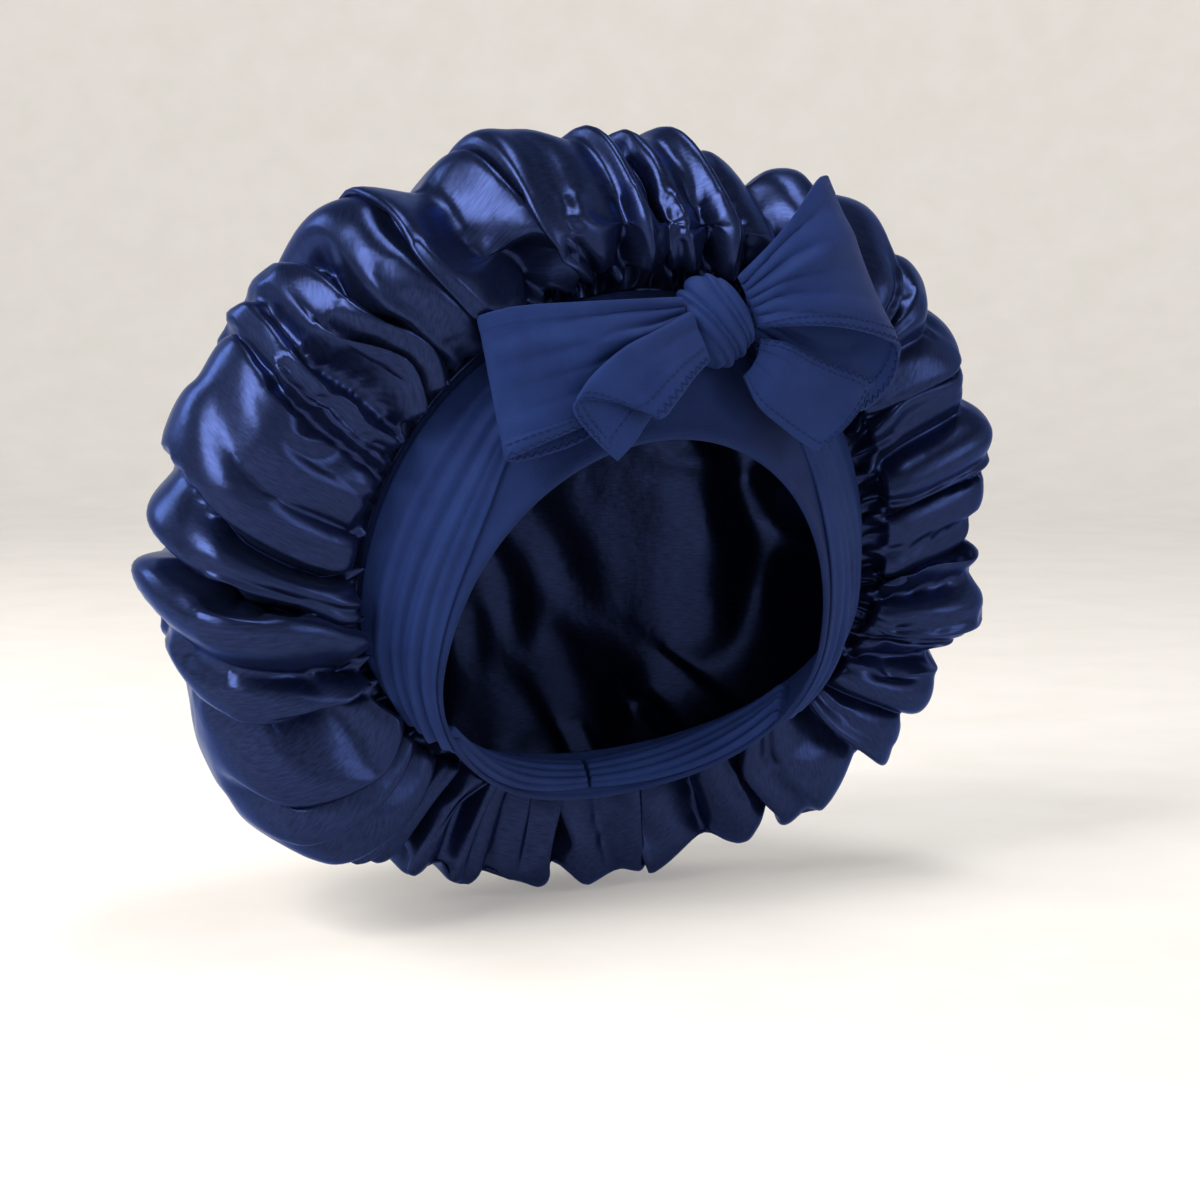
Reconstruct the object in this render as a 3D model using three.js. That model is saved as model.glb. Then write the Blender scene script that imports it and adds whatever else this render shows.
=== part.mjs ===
// Sleep bonnet: a full satin crown gathered onto a wide cotton edge band. Two tie straps lie on
// the band from the nape upwards and are tied in a bow above the forehead.
//
// Millimetres. +Z is up, the face opening looks toward -Y and +X is the wearer's left.
// The origin is the centre of the head opening, where the bonnet sits on the head.
//
// Every cloth piece is one closed wall: a grid of points on its outer face, the same grid set
// in by the cloth's thickness, and the edges that close the two.
import * as THREE from "three";

// Cloth thicknesses and the gap kept between neighbouring pieces.
const CROWN_WALL = 1.4;
const BAND_WALL = 2.0;
const TIE_WALL = 1.4;
const GAP = 0.8;

// How finely each wall is divided.
const CROWN_AROUND = 88;
const BAND_AROUND = 66;
const BAND_ROWS = 3;
const STRAP_STEPS = 24;
const STRAP_ROWS = 4;
const LOOP_STEPS = 18;
const TAIL_STEPS = 8;
const BOW_ROWS = 6;

// The two rings that the band spans, and the rings of the crown behind them. A ring is an oval
// about a centre set `back` and `up` from the origin, leaning forward by `tilt` degrees:
// `half` wide each side, `top` above its centre and `bottom` below. `nape` carries its lowest
// point back, round the neck. `reach` is the ring's place along the crown, from seam to centre.
const FACE_EDGE = { back: 0, up: 0, tilt: 17.5, half: 87, top: 95, bottom: 64, nape: 22 };
const GATHER_SEAM = { back: 16, up: 31, tilt: 10, half: 117, top: 120, bottom: 75, nape: 22 };
const CROWN_RING_TABLE = [
  { name: "seam", reach: 0.0, ...GATHER_SEAM },
  { name: "front_puff", reach: 0.3, back: 5, up: 33, tilt: 10, half: 133, top: 135, bottom: 94, nape: 38 },
  { name: "front_shoulder", reach: 0.9, back: 4, up: 51, tilt: 10, half: 174, top: 133, bottom: 150, nape: 34 },
  { name: "rim", reach: 1.5, back: 41, up: 62, tilt: 10, half: 185, top: 152, bottom: 160, nape: 12 },
  { name: "back_shoulder", reach: 2.1, back: 93, up: 60, tilt: 8, half: 161, top: 126, bottom: 151, nape: 0 },
  { name: "back_round", reach: 2.8, back: 130, up: 62, tilt: 6, half: 135, top: 108, bottom: 122, nape: 0 },
  { name: "back_cap", reach: 3.5, back: 155, up: 61, tilt: 5, half: 77, top: 62, bottom: 70, nape: 0 },
  { name: "back_centre", reach: 4.0, back: 165, up: 61, tilt: 5, half: 0, top: 0, bottom: 0, nape: 0 },
];

// The crown is one cloth. It is held as three closed walls, end to end, so that each stays
// simple: the gathered front, the rim and the back. `from` and `to` are reaches.
const CROWN_PARTS = [
  { name: "crown_front", from: 0.02, to: 0.9, rings: 4 },
  { name: "crown_rim", from: 0.908, to: 2.1, rings: 4 },
  { name: "crown_back", from: 2.108, to: 4.0, rings: 5 },
];

// The crown's big folds: each valley that runs back from the seam, by its angle round the crown
// (0 at the top, growing toward the wearer's left). `depth` is how far the valley lies inside
// the rings above, and `puff` how far the puff after it stands outside them.
const VALLEY_TABLE = [
  { angle: -61, depth: 5, puff: 1 },
  { angle: -48, depth: 12, puff: 6 },
  { angle: -25, depth: 3, puff: 0 },
  { angle: 2, depth: 7, puff: -1 },
  { angle: 24, depth: 13, puff: 3 },
  { angle: 44, depth: 5, puff: -1 },
  { angle: 60, depth: 11, puff: -2 },
  { angle: 91, depth: 13, puff: 5 },
  { angle: 115, depth: 3, puff: 5 },
  { angle: 145, depth: 1, puff: -1 },
  { angle: 183, depth: 3, puff: -3 },
  { angle: 208, depth: 7, puff: 9 },
  { angle: 246, depth: 2, puff: 6 },
  { angle: 264, depth: 7, puff: -1 },
  { angle: 292, depth: 4, puff: 3 },
];

// A tie strap on the band, from the nape to the knot. `angle` is measured from the top, `from`
// and `to` are how far across the band its two edges lie (0 at the seam, 1 at the face edge),
// and `lift` is how far it stands off the band.
const STRAP_TABLE = [
  { name: "nape", angle: 176, from: 0.25, to: 0.8, lift: GAP },
  { name: "neck", angle: 150, from: 0.14, to: 0.9, lift: GAP },
  { name: "under_ear", angle: 120, from: 0.09, to: 0.94, lift: GAP },
  { name: "ear", angle: 96, from: 0.07, to: 0.92, lift: GAP },
  { name: "temple", angle: 68, from: 0.06, to: 0.88, lift: GAP },
  { name: "brow", angle: 54, from: 0.06, to: 0.79, lift: GAP },
  { name: "forehead", angle: 39, from: 0.07, to: 0.6, lift: GAP },
];
const STRAP_RISE = { angle: 11, from: 0.14, to: 0.46, lift: 4 };
const STRAP_ROOT = { from: 0.2, to: 0.42, lift: 7.5 };
const STRAP_ROOT_ANGLE = { left: 21, right: -0.5 };

// The bow hangs on the knot. Its tables are measured from the knot's centre: [toward the
// wearer's left, ahead of the forehead, up].
const KNOT_CENTRE = { left: 18, ahead: 26, up: 136 };
const KNOT = { half_length: 13, radius: 18.5, flatness: 0.6, slope: 38, pleats: 6, pleat_depth: 1.3 };
const KNOT_PROFILE_STEPS = 18;
const KNOT_AROUND = 18;

// Each loop is one strip that leaves the knot in front, folds over at its far end and comes back
// behind. A row gives its upper and its lower edge; `belly` rounds the strip outward.
const LOOP_RIGHT_TABLE = [
  { name: "front_root", upper: [-17, 5, 9], lower: [-15.5, 6, -8], belly: 1 },
  { name: "front_near", upper: [-34, 8, 9], lower: [-38, 10, -26], belly: 3 },
  { name: "front_mid", upper: [-61, 9, 8], lower: [-63, 11, -38], belly: 4 },
  { name: "front_far", upper: [-92, 5, 6], lower: [-88, 6, -48], belly: 2 },
  { name: "fold", upper: [-103, 0, 3], lower: [-93, 3, -51], belly: 0 },
  { name: "back_far", upper: [-92, -3.5, 4], lower: [-87, 0.5, -52], belly: 0 },
  { name: "back_mid", upper: [-58, -3, 5], lower: [-58, 4, -43], belly: 0 },
  { name: "back_root", upper: [-18, -2, 7], lower: [-15.5, 1, -7], belly: 0 },
];
const LOOP_LEFT_TABLE = [
  { name: "front_root", upper: [10, 4.5, 18], lower: [17, 7, -2], belly: 1 },
  { name: "front_near", upper: [19, 12, 31], lower: [26, 16, -1], belly: 3 },
  { name: "front_mid", upper: [30, 14, 44], lower: [47, 20, -2], belly: 4 },
  { name: "front_far", upper: [41, 12, 56], lower: [72, 15, -7], belly: 2 },
  { name: "fold", upper: [47, 8, 57], lower: [82, 10, -11], belly: 0 },
  { name: "back_far", upper: [44, 4, 50], lower: [82, 4, -26], belly: 0 },
  { name: "back_mid", upper: [32, 3, 38], lower: [66, 2, -36], belly: 0 },
  { name: "back_root", upper: [14, 0, 15], lower: [18, 0, -5], belly: 0 },
];

// Each tail is one strip folded along its length: a row gives its two edges and the fold.
const TAIL_RIGHT_TABLE = [
  { name: "root", edge: [-11, 14.5, -15], fold: [-17, 9, 8], under: [-15.5, 9, -12] },
  { name: "near", edge: [-21, 20, -21], fold: [-40, 17, 1], under: [-26, 14, -24] },
  { name: "mid", edge: [-30, 23.5, -29], fold: [-56, 19.5, -4], under: [-38, 16, -36] },
  { name: "far", edge: [-37, 23, -36], fold: [-70, 19, -14], under: [-46, 16, -46] },
  { name: "end", edge: [-41, 21, -33], fold: [-79, 18, -27], under: [-52, 15, -52] },
];
const TAIL_LEFT_TABLE = [
  { name: "root", edge: [18, 5, -7], fold: [15.5, 8, -14], under: [10, 6, -21] },
  { name: "near", edge: [27, 9, -8], fold: [23, 12, -20], under: [16, 8, -33] },
  { name: "mid", edge: [42, 10, -14], fold: [38, 12.5, -29], under: [30, 8, -43] },
  { name: "far", edge: [60, 10, -20], fold: [53, 12, -36], under: [39, 7, -49] },
  { name: "end", edge: [71, 9, -24], fold: [60, 11, -39], under: [44, 7, -51] },
];

const SATIN = { color: 0x1d2c5e, roughness: 0.32, metalness: 0 };
const BAND_COTTON = { color: 0x22335f, roughness: 0.85, metalness: 0 };
const TIE_COTTON = { color: 0x2a3b6c, roughness: 0.85, metalness: 0 };

const radians = THREE.MathUtils.degToRad;
const lerp = THREE.MathUtils.lerp;

/** A point on an oval ring, `angle` radians round from the top toward the wearer's left. */
function ringPoint(ring, angle) {
  const high = Math.cos(angle);
  const rise = high * (high > 0 ? ring.top : ring.bottom);
  const low = Math.max(-high, 0) ** 4;
  const lean = radians(ring.tilt);
  return new THREE.Vector3(
    ring.half * Math.sin(angle),
    ring.back - rise * Math.sin(lean) + ring.nape * low,
    ring.up + rise * Math.cos(lean),
  );
}

/** A number in `column`, blended smoothly between the rows of a table ordered by `key`. */
function smoothColumn(table, key, column, at) {
  const last = table.length - 1;
  let i = 0;
  while (i < last - 1 && at > table[i + 1][key]) i += 1;
  const slope = (row) => {
    const a = table[Math.max(row - 1, 0)];
    const b = table[Math.min(row + 1, last)];
    return (b[column] - a[column]) / (b[key] - a[key]);
  };
  const span = table[i + 1][key] - table[i][key];
  const t = (at - table[i][key]) / span;
  const start = table[i][column];
  const end = table[i + 1][column];
  const ease = t * t * (3 - 2 * t);
  const leave = t * (1 - t) ** 2 * slope(i) * span;
  const arrive = t * t * (t - 1) * slope(i + 1) * span;
  return lerp(start, end, ease) + leave + arrive;
}

/** The ring of the crown at `reach`, blended between the rows of its table. */
function crownRing(reach) {
  const ring = {};
  for (const column of ["back", "up", "tilt", "half", "top", "bottom", "nape"]) {
    ring[column] = smoothColumn(CROWN_RING_TABLE, "reach", column, reach);
  }
  return ring;
}

/** How far the crown's folds move its surface outward at an angle in degrees. */
function foldHeight(angle) {
  const turn = 360;
  const count = VALLEY_TABLE.length;
  for (let i = 0; i < count; i += 1) {
    const here = VALLEY_TABLE[i];
    const next = VALLEY_TABLE[(i + 1) % count];
    const span = THREE.MathUtils.euclideanModulo(next.angle - here.angle, turn);
    const along = THREE.MathUtils.euclideanModulo(angle - here.angle, turn);
    if (along < span) {
      const t = along / span;
      const crest = Math.sin(Math.PI * t) ** 0.8;
      return here.puff * crest - lerp(here.depth, next.depth, t) * (1 - crest);
    }
  }
  return 0;
}

/** How strongly the folds show at `reach`: none at the seam, full at the rim, none at the back. */
function foldStrength(reach) {
  const grows = THREE.MathUtils.smoothstep(reach, 0, 0.9);
  const fades = 1 - THREE.MathUtils.smoothstep(reach, 1.7, 3.4);
  return grows * fades;
}

/** A point on the crown: its ring, pushed out from the ring's centre by the folds. */
function crownPoint(reach, angle) {
  const ring = crownRing(reach);
  const point = ringPoint(ring, angle);
  const outward = new THREE.Vector3(Math.sin(angle), 0, Math.cos(angle));
  const height = foldHeight(THREE.MathUtils.radToDeg(angle)) * foldStrength(reach);
  return point.addScaledVector(outward, height);
}

/** The unit normal of a surface given as a function of two numbers, at (u, v). */
function surfaceNormal(surface, u, v) {
  const step = 1e-3;
  const alongU = surface(u + step, v).sub(surface(u - step, v));
  const alongV = surface(u, v + step).sub(surface(u, v - step));
  return alongU.cross(alongV).normalize();
}

/** The band's outer face: `across` from the gather seam (0) to the face edge (1). */
function bandPoint(across, angle) {
  const bulge = 3 * Math.sin(Math.PI * THREE.MathUtils.clamp(across, 0, 1));
  const point = ringPoint(GATHER_SEAM, angle).lerp(ringPoint(FACE_EDGE, angle), across);
  return point.addScaledVector(new THREE.Vector3(0, -0.9, 0.4), bulge);
}

/** The same point, moved off the band's face by `lift`. */
function abovePoint(across, angle, lift) {
  const normal = surfaceNormal(bandPoint, across, angle);
  return bandPoint(across, angle).addScaledVector(normal, lift);
}

/**
 * A closed wall of cloth. `outer` and `inner` are matching grids of points, [row][column]; the
 * outer grid's rows crossed with its columns point out of the wall. `wraps` joins the last
 * column to the first, and `pole` closes the last row in one point.
 */
function wallGeometry(outer, inner, { wraps = false, pole = false } = {}) {
  const rows = outer.length;
  const columns = outer[0].length;
  const positions = [];
  const triangles = [];
  const add = (point) => positions.push(point.x, point.y, point.z) / 3 - 1;
  const place = (grid) =>
    grid.map((row, r) => {
      if (pole && r === rows - 1) {
        const tip = add(row[0]);
        return row.map(() => tip);
      }
      return row.map(add);
    });
  const faces = [place(outer), place(inner)];
  const quad = (a, b, c, d) => {
    if (a !== b && b !== c && a !== c) triangles.push(a, b, c);
    if (a !== c && c !== d && a !== d) triangles.push(a, c, d);
  };
  const steps = wraps ? columns : columns - 1;
  for (let r = 0; r < rows - 1; r += 1) {
    for (let c = 0; c < steps; c += 1) {
      const n = (c + 1) % columns;
      const [out, back] = faces;
      quad(out[r][c], out[r + 1][c], out[r + 1][n], out[r][n]);
      quad(back[r][c], back[r][n], back[r + 1][n], back[r + 1][c]);
    }
  }
  const [out, back] = faces;
  for (let c = 0; c < steps; c += 1) {
    const n = (c + 1) % columns;
    quad(out[0][c], out[0][n], back[0][n], back[0][c]);
    if (!pole) quad(out[rows - 1][c], back[rows - 1][c], back[rows - 1][n], out[rows - 1][n]);
  }
  if (!wraps) {
    const end = columns - 1;
    for (let r = 0; r < rows - 1; r += 1) {
      quad(out[r][0], back[r][0], back[r + 1][0], out[r + 1][0]);
      quad(out[r][end], out[r + 1][end], back[r + 1][end], back[r][end]);
    }
  }
  const geometry = new THREE.BufferGeometry();
  geometry.setAttribute("position", new THREE.Float32BufferAttribute(positions, 3));
  geometry.setIndex(triangles);
  geometry.computeVertexNormals();
  return geometry;
}

/** A wall whose outer face is surface(u, v), with `wall` of cloth behind it. */
function surfaceWall(surface, us, vs, wall, options) {
  const outer = us.map((u) => vs.map((v) => surface(u, v)));
  const inner = us.map((u, r) =>
    vs.map((v, c) => outer[r][c].clone().addScaledVector(surfaceNormal(surface, u, v), -wall)),
  );
  return wallGeometry(outer, inner, options);
}

/** `count` + 1 numbers evenly from `start` to `end`. */
function evenSteps(start, end, count) {
  return Array.from({ length: count + 1 }, (_, i) => lerp(start, end, i / count));
}

/** The angles of the columns of a wall that closes on itself. */
function fullTurn(count) {
  return evenSteps(0, 2 * Math.PI, count).slice(0, -1);
}

/** A named mesh with its own material. */
function piece(name, geometry, finish) {
  const mesh = new THREE.Mesh(geometry, new THREE.MeshStandardMaterial({ ...finish, name }));
  mesh.name = name;
  return mesh;
}

/** One wall of the satin crown. The last one closes at the centre of the back. */
function makeCrownPart({ name, from, to, rings }) {
  const pole = crownRing(to).half === 0;
  const inward = new THREE.Vector3(0, -CROWN_WALL, 0);
  const reaches = evenSteps(from, to, rings);
  const outer = reaches.map((reach) => fullTurn(CROWN_AROUND).map((angle) => crownPoint(reach, angle)));
  const inner = reaches.map((reach, r) =>
    fullTurn(CROWN_AROUND).map((angle, c) => {
      if (pole && r === rings) return outer[r][c].clone().add(inward);
      const normal = surfaceNormal(crownPoint, reach, angle);
      return outer[r][c].clone().addScaledVector(normal, -CROWN_WALL);
    }),
  );
  return piece(name, wallGeometry(outer, inner, { wraps: true, pole }), SATIN);
}

/** The cotton band round the face opening. */
function makeEdgeBand() {
  const acrossSteps = evenSteps(0.01, 1, BAND_ROWS);
  const geometry = surfaceWall(bandPoint, acrossSteps, fullTurn(BAND_AROUND), BAND_WALL, { wraps: true });
  return piece("edge_band", geometry, BAND_COTTON);
}

/** One tie strap, lying on the band from the nape and rising to the knot. */
function makeStrap(side) {
  const sign = side === "left" ? 1 : -1;
  const root = STRAP_ROOT_ANGLE[side] * sign;
  const rows = [
    ...STRAP_TABLE,
    { ...STRAP_RISE, angle: root + STRAP_RISE.angle },
    { ...STRAP_ROOT, angle: root },
  ].reverse();
  const steps = evenSteps(root, STRAP_TABLE[0].angle, STRAP_STEPS);
  const grid = (depth) =>
    steps.map((angle) => {
      const from = smoothColumn(rows, "angle", "from", angle);
      const to = smoothColumn(rows, "angle", "to", angle);
      const lift = smoothColumn(rows, "angle", "lift", angle);
      return evenSteps(from, to, STRAP_ROWS).map((across) =>
        abovePoint(across, sign * radians(angle), lift + depth),
      );
    });
  const outer = grid(TIE_WALL);
  const inner = grid(0);
  const facing = sign > 0 ? [inner, outer] : [outer, inner];
  return piece(`tie_strap_${side}`, wallGeometry(...facing), TIE_COTTON);
}

/** A point of a bow table, moved from the knot's centre into the bonnet's frame. */
function bowPoint([left, ahead, up]) {
  return new THREE.Vector3(KNOT_CENTRE.left + left, -KNOT_CENTRE.ahead - ahead, KNOT_CENTRE.up + up);
}

/** Smooth curves through the same column of points in every row of a bow table. */
function edgeCurve(table, column) {
  return new THREE.CatmullRomCurve3(table.map((row) => bowPoint(row[column])), false, "centripetal");
}

/** The surface of a loop: `along` from root to root, `across` from upper to lower edge. */
function loopSurface(table) {
  const upper = edgeCurve(table, "upper");
  const lower = edgeCurve(table, "lower");
  const flat = (along, across) => upper.getPoint(along).lerp(lower.getPoint(along), across);
  return (along, across) => {
    const key = THREE.MathUtils.clamp(along, 0, 1) * (table.length - 1);
    const row = Math.min(Math.floor(key), table.length - 2);
    const belly = lerp(table[row].belly, table[row + 1].belly, key - row);
    const rise = belly * Math.sin(Math.PI * THREE.MathUtils.clamp(across, 0, 1));
    return flat(along, across).add(new THREE.Vector3(0, -rise, 0));
  };
}

/** The surface of a tail: `across` runs from its free edge round the fold to the edge under it. */
function tailSurface(table) {
  const edge = edgeCurve(table, "edge");
  const fold = edgeCurve(table, "fold");
  const under = edgeCurve(table, "under");
  return (along, across) => {
    const t = THREE.MathUtils.clamp(across, 0, 1);
    const bend = new THREE.QuadraticBezierCurve3();
    const [a, b, c] = [edge, fold, under].map((curve) => curve.getPoint(along));
    const middle = b.clone().multiplyScalar(1.6).addScaledVector(a, -0.3).addScaledVector(c, -0.3);
    bend.v0.copy(a);
    bend.v1.copy(middle);
    bend.v2.copy(c);
    return bend.getPoint(t);
  };
}

/** A wall from a surface whose ends stop at 0 and 1, with one-sided normals there. */
function stripWall(surface, steps, rows) {
  const inset = 2e-3;
  const safe = (value) => THREE.MathUtils.clamp(value, inset, 1 - inset);
  const grid = (depth) =>
    evenSteps(0, 1, steps).map((u) =>
      evenSteps(0, 1, rows).map((v) => {
        const normal = surfaceNormal(surface, safe(u), safe(v));
        return surface(u, v).addScaledVector(normal, depth);
      }),
    );
  return wallGeometry(grid(TIE_WALL / 2), grid(-TIE_WALL / 2));
}

/** The wrapped knot: a pleated barrel whose axis climbs toward the wearer's left. */
function makeKnot() {
  const profile = evenSteps(-1, 1, KNOT_PROFILE_STEPS).map((t) => {
    const barrel = Math.sqrt(Math.max(1 - t ** 4, 0));
    const pleat = Math.abs(Math.sin((Math.PI * KNOT.pleats * (t + 1)) / 2));
    const radius = Math.abs(t) === 1 ? 0 : KNOT.radius * barrel - KNOT.pleat_depth * (1 - pleat) * barrel;
    return new THREE.Vector2(radius, t * KNOT.half_length);
  });
  const geometry = new THREE.LatheGeometry(profile, KNOT_AROUND);
  geometry.rotateZ(-Math.PI / 2);
  geometry.scale(1, 1, KNOT.flatness);
  geometry.rotateX(Math.PI / 2);
  geometry.rotateY(-radians(KNOT.slope));
  const knot = piece("bow_knot", geometry, TIE_COTTON);
  knot.position.copy(bowPoint([0, 0, 0]));
  return knot;
}

const bonnet = new THREE.Group();
bonnet.add(...CROWN_PARTS.map(makeCrownPart));
bonnet.add(makeEdgeBand(), makeStrap("left"), makeStrap("right"), makeKnot());
bonnet.add(
  piece("bow_loop_left", stripWall(loopSurface(LOOP_LEFT_TABLE), LOOP_STEPS, BOW_ROWS), TIE_COTTON),
  piece("bow_loop_right", stripWall(loopSurface(LOOP_RIGHT_TABLE), LOOP_STEPS, BOW_ROWS), TIE_COTTON),
  piece("bow_tail_left", stripWall(tailSurface(TAIL_LEFT_TABLE), TAIL_STEPS, BOW_ROWS), TIE_COTTON),
  piece("bow_tail_right", stripWall(tailSurface(TAIL_RIGHT_TABLE), TAIL_STEPS, BOW_ROWS), TIE_COTTON),
);

export default bonnet;
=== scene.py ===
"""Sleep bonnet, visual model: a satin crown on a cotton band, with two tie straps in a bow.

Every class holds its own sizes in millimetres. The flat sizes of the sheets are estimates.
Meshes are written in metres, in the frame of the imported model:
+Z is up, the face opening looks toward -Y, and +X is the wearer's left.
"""

import logging
import math
from dataclasses import astuple, dataclass, field
from enum import Enum

import bmesh
import bpy
import numpy as np
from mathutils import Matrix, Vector


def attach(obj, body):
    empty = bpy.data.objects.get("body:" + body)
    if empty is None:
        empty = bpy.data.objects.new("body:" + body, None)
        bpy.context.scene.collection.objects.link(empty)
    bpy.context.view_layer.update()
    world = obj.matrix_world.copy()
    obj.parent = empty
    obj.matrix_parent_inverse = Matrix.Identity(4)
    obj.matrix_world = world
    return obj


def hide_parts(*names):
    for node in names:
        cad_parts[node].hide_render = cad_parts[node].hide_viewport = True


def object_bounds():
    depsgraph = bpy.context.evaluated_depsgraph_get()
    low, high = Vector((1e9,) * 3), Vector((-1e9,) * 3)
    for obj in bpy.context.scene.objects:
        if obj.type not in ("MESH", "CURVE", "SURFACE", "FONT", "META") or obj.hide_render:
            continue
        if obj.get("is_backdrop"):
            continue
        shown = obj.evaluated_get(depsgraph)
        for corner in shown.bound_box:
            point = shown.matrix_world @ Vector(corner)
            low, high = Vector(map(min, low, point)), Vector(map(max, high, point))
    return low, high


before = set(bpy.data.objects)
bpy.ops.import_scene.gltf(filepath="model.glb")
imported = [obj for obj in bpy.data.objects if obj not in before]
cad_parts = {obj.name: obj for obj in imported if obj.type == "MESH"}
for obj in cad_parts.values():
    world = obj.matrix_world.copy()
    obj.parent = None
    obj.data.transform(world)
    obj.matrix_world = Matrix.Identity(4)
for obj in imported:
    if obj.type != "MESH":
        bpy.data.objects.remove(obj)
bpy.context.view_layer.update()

Array = np.ndarray
MM = 0.001
FULL_TURN = 2 * math.pi
STITCH_INSET = 0.8  # how far into a hem its stitches run, as a share of the hem's width
log = logging.getLogger("sleep_bonnet")


class Side(Enum):
    """Which side of the wearer a piece is on; the value is the sign of its X."""

    LEFT = 1
    RIGHT = -1


class Stitch(Enum):
    """How a line of thread is sewn."""

    RUNNING = "running"
    ZIGZAG = "zigzag"


# ---------------------------------------------------------------- small helpers


def smoothstep(value: Array | float, low: float, high: float) -> Array:
    """Rise smoothly from 0 at low to 1 at high."""
    t = np.clip((value - low) / (high - low), 0.0, 1.0)
    return t * t * (3 - 2 * t)


def lerp(start: Array, end: Array, t: Array) -> Array:
    """Blend evenly from start to end."""
    return start + (end - start) * t


def smooth_table(keys: Array, rows: Array, at: Array) -> Array:
    """Blend the rows of a table smoothly.

    Args:
        keys: Where each row stands, rising.
        rows: One row of columns for each key.
        at: The places to read.

    Returns:
        One blended row for each place.
    """
    last = len(keys) - 1
    before = np.maximum(np.arange(last + 1) - 1, 0)
    after = np.minimum(np.arange(last + 1) + 1, last)
    slopes = (rows[after] - rows[before]) / (keys[after] - keys[before])[:, None]
    i = np.clip(np.searchsorted(keys, at, side="right") - 1, 0, last - 1)
    span = (keys[i + 1] - keys[i])[..., None]
    t = (np.asarray(at)[..., None] - keys[i][..., None]) / span
    ease = t * t * (3 - 2 * t)
    leave = t * (1 - t) ** 2 * slopes[i] * span
    arrive = t * t * (t - 1) * slopes[i + 1] * span
    return lerp(rows[i], rows[i + 1], ease) + leave + arrive


def unit(vectors: Array) -> Array:
    """Scale each vector to length 1."""
    return vectors / np.maximum(np.linalg.norm(vectors, axis=-1, keepdims=True), 1e-12)


def linear_colour(code: str) -> tuple[float, float, float, float]:
    """Turn an sRGB hex value into the linear colour that a shader takes."""
    values = [int(code[i : i + 2], 16) / 255 for i in (1, 3, 5)]
    linear = [v / 12.92 if v <= 0.04045 else ((v + 0.055) / 1.055) ** 2.4 for v in values]
    return (linear[0], linear[1], linear[2], 1.0)


def add_node(
    tree: bpy.types.NodeTree, kind: str, settings: dict | None = None, links: dict | None = None
) -> bpy.types.Node:
    """Add a shader node.

    Args:
        tree: The material's node tree.
        kind: The node's type name.
        settings: Input values by socket name or number, and attributes by name.
        links: The socket that feeds each named or numbered input.

    Returns:
        The new node.
    """
    node = tree.nodes.new(kind)
    for key, value in (settings or {}).items():
        if isinstance(key, int) or key in node.inputs:
            node.inputs[key].default_value = value
        else:
            setattr(node, key, value)
    for key, socket in (links or {}).items():
        tree.links.new(socket, node.inputs[key])
    return node


def set_inputs(node: bpy.types.Node, values: dict) -> None:
    """Set a node's inputs by name; a colour is given as its sRGB hex value."""
    for key, value in values.items():
        node.inputs[key].default_value = linear_colour(value) if isinstance(value, str) else value


# ---------------------------------------------------------------- finishes


@dataclass(frozen=True)
class Finish:
    """A cloth or thread finish: typical shader values, then the patterns that its class adds."""

    name: str
    deep: str
    light: str
    roughness: float
    ior: float = 1.5

    def material(self) -> bpy.types.Material:
        """Build the material with its patterns."""
        material = bpy.data.materials.new(self.name)
        material.use_nodes = True
        tree = material.node_tree
        shader = tree.nodes["Principled BSDF"]
        set_inputs(shader, {"Roughness": self.roughness, "IOR": self.ior})
        self.dress(tree, shader)
        return material

    def dress(self, tree: bpy.types.NodeTree, shader: bpy.types.Node) -> None:
        """Add the finish's own patterns; each kind of cloth has its own."""
        raise NotImplementedError

    def wave(self, tree: bpy.types.NodeTree, uv: bpy.types.Node, pitch: float, axis: str) -> bpy.types.Node:
        """Add even bands, `pitch` mm apart, that cross the cloth along one of its threads."""
        bands_in_one_unit = 20 / FULL_TURN
        settings = {
            "wave_type": "BANDS",
            "bands_direction": axis,
            "Scale": 1 / (pitch * MM * bands_in_one_unit),
            "Distortion": 1.2,
            "Detail": 1.0,
            "Detail Scale": 0.6,
        }
        return add_node(tree, "ShaderNodeTexWave", settings, {"Vector": uv.outputs["UV"]})

    def mottle(self, tree: bpy.types.NodeTree, source: bpy.types.NodeSocket, size: float) -> bpy.types.Node:
        """Add soft cloudy noise whose patches are about `size` mm wide."""
        settings = {"Scale": 1 / (size * MM), "Detail": 3.0, "Roughness": 0.55}
        return add_node(tree, "ShaderNodeTexNoise", settings, {"Vector": source})

    def bump(
        self,
        tree: bpy.types.NodeTree,
        height: bpy.types.NodeSocket,
        strength: float,
        depth: float,
        over: bpy.types.Node | None = None,
    ) -> bpy.types.Node:
        """Add relief `depth` mm deep that follows `height`, on top of another bump if one is given."""
        links = {"Height": height}
        if over:
            links["Normal"] = over.outputs["Normal"]
        return add_node(tree, "ShaderNodeBump", {"Strength": strength, "Distance": depth * MM}, links)

    def shade(self, tree: bpy.types.NodeTree, shader: bpy.types.Node, factor: bpy.types.NodeSocket) -> None:
        """Vary the colour between the finish's deep and light shades."""
        ramp = add_node(tree, "ShaderNodeValToRGB", links={"Fac": factor})
        ramp.color_ramp.elements[0].position = 0.3
        ramp.color_ramp.elements[0].color = linear_colour(self.deep)
        ramp.color_ramp.elements[1].position = 0.7
        ramp.color_ramp.elements[1].color = linear_colour(self.light)
        tree.links.new(ramp.outputs["Color"], shader.inputs["Base Color"])


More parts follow.
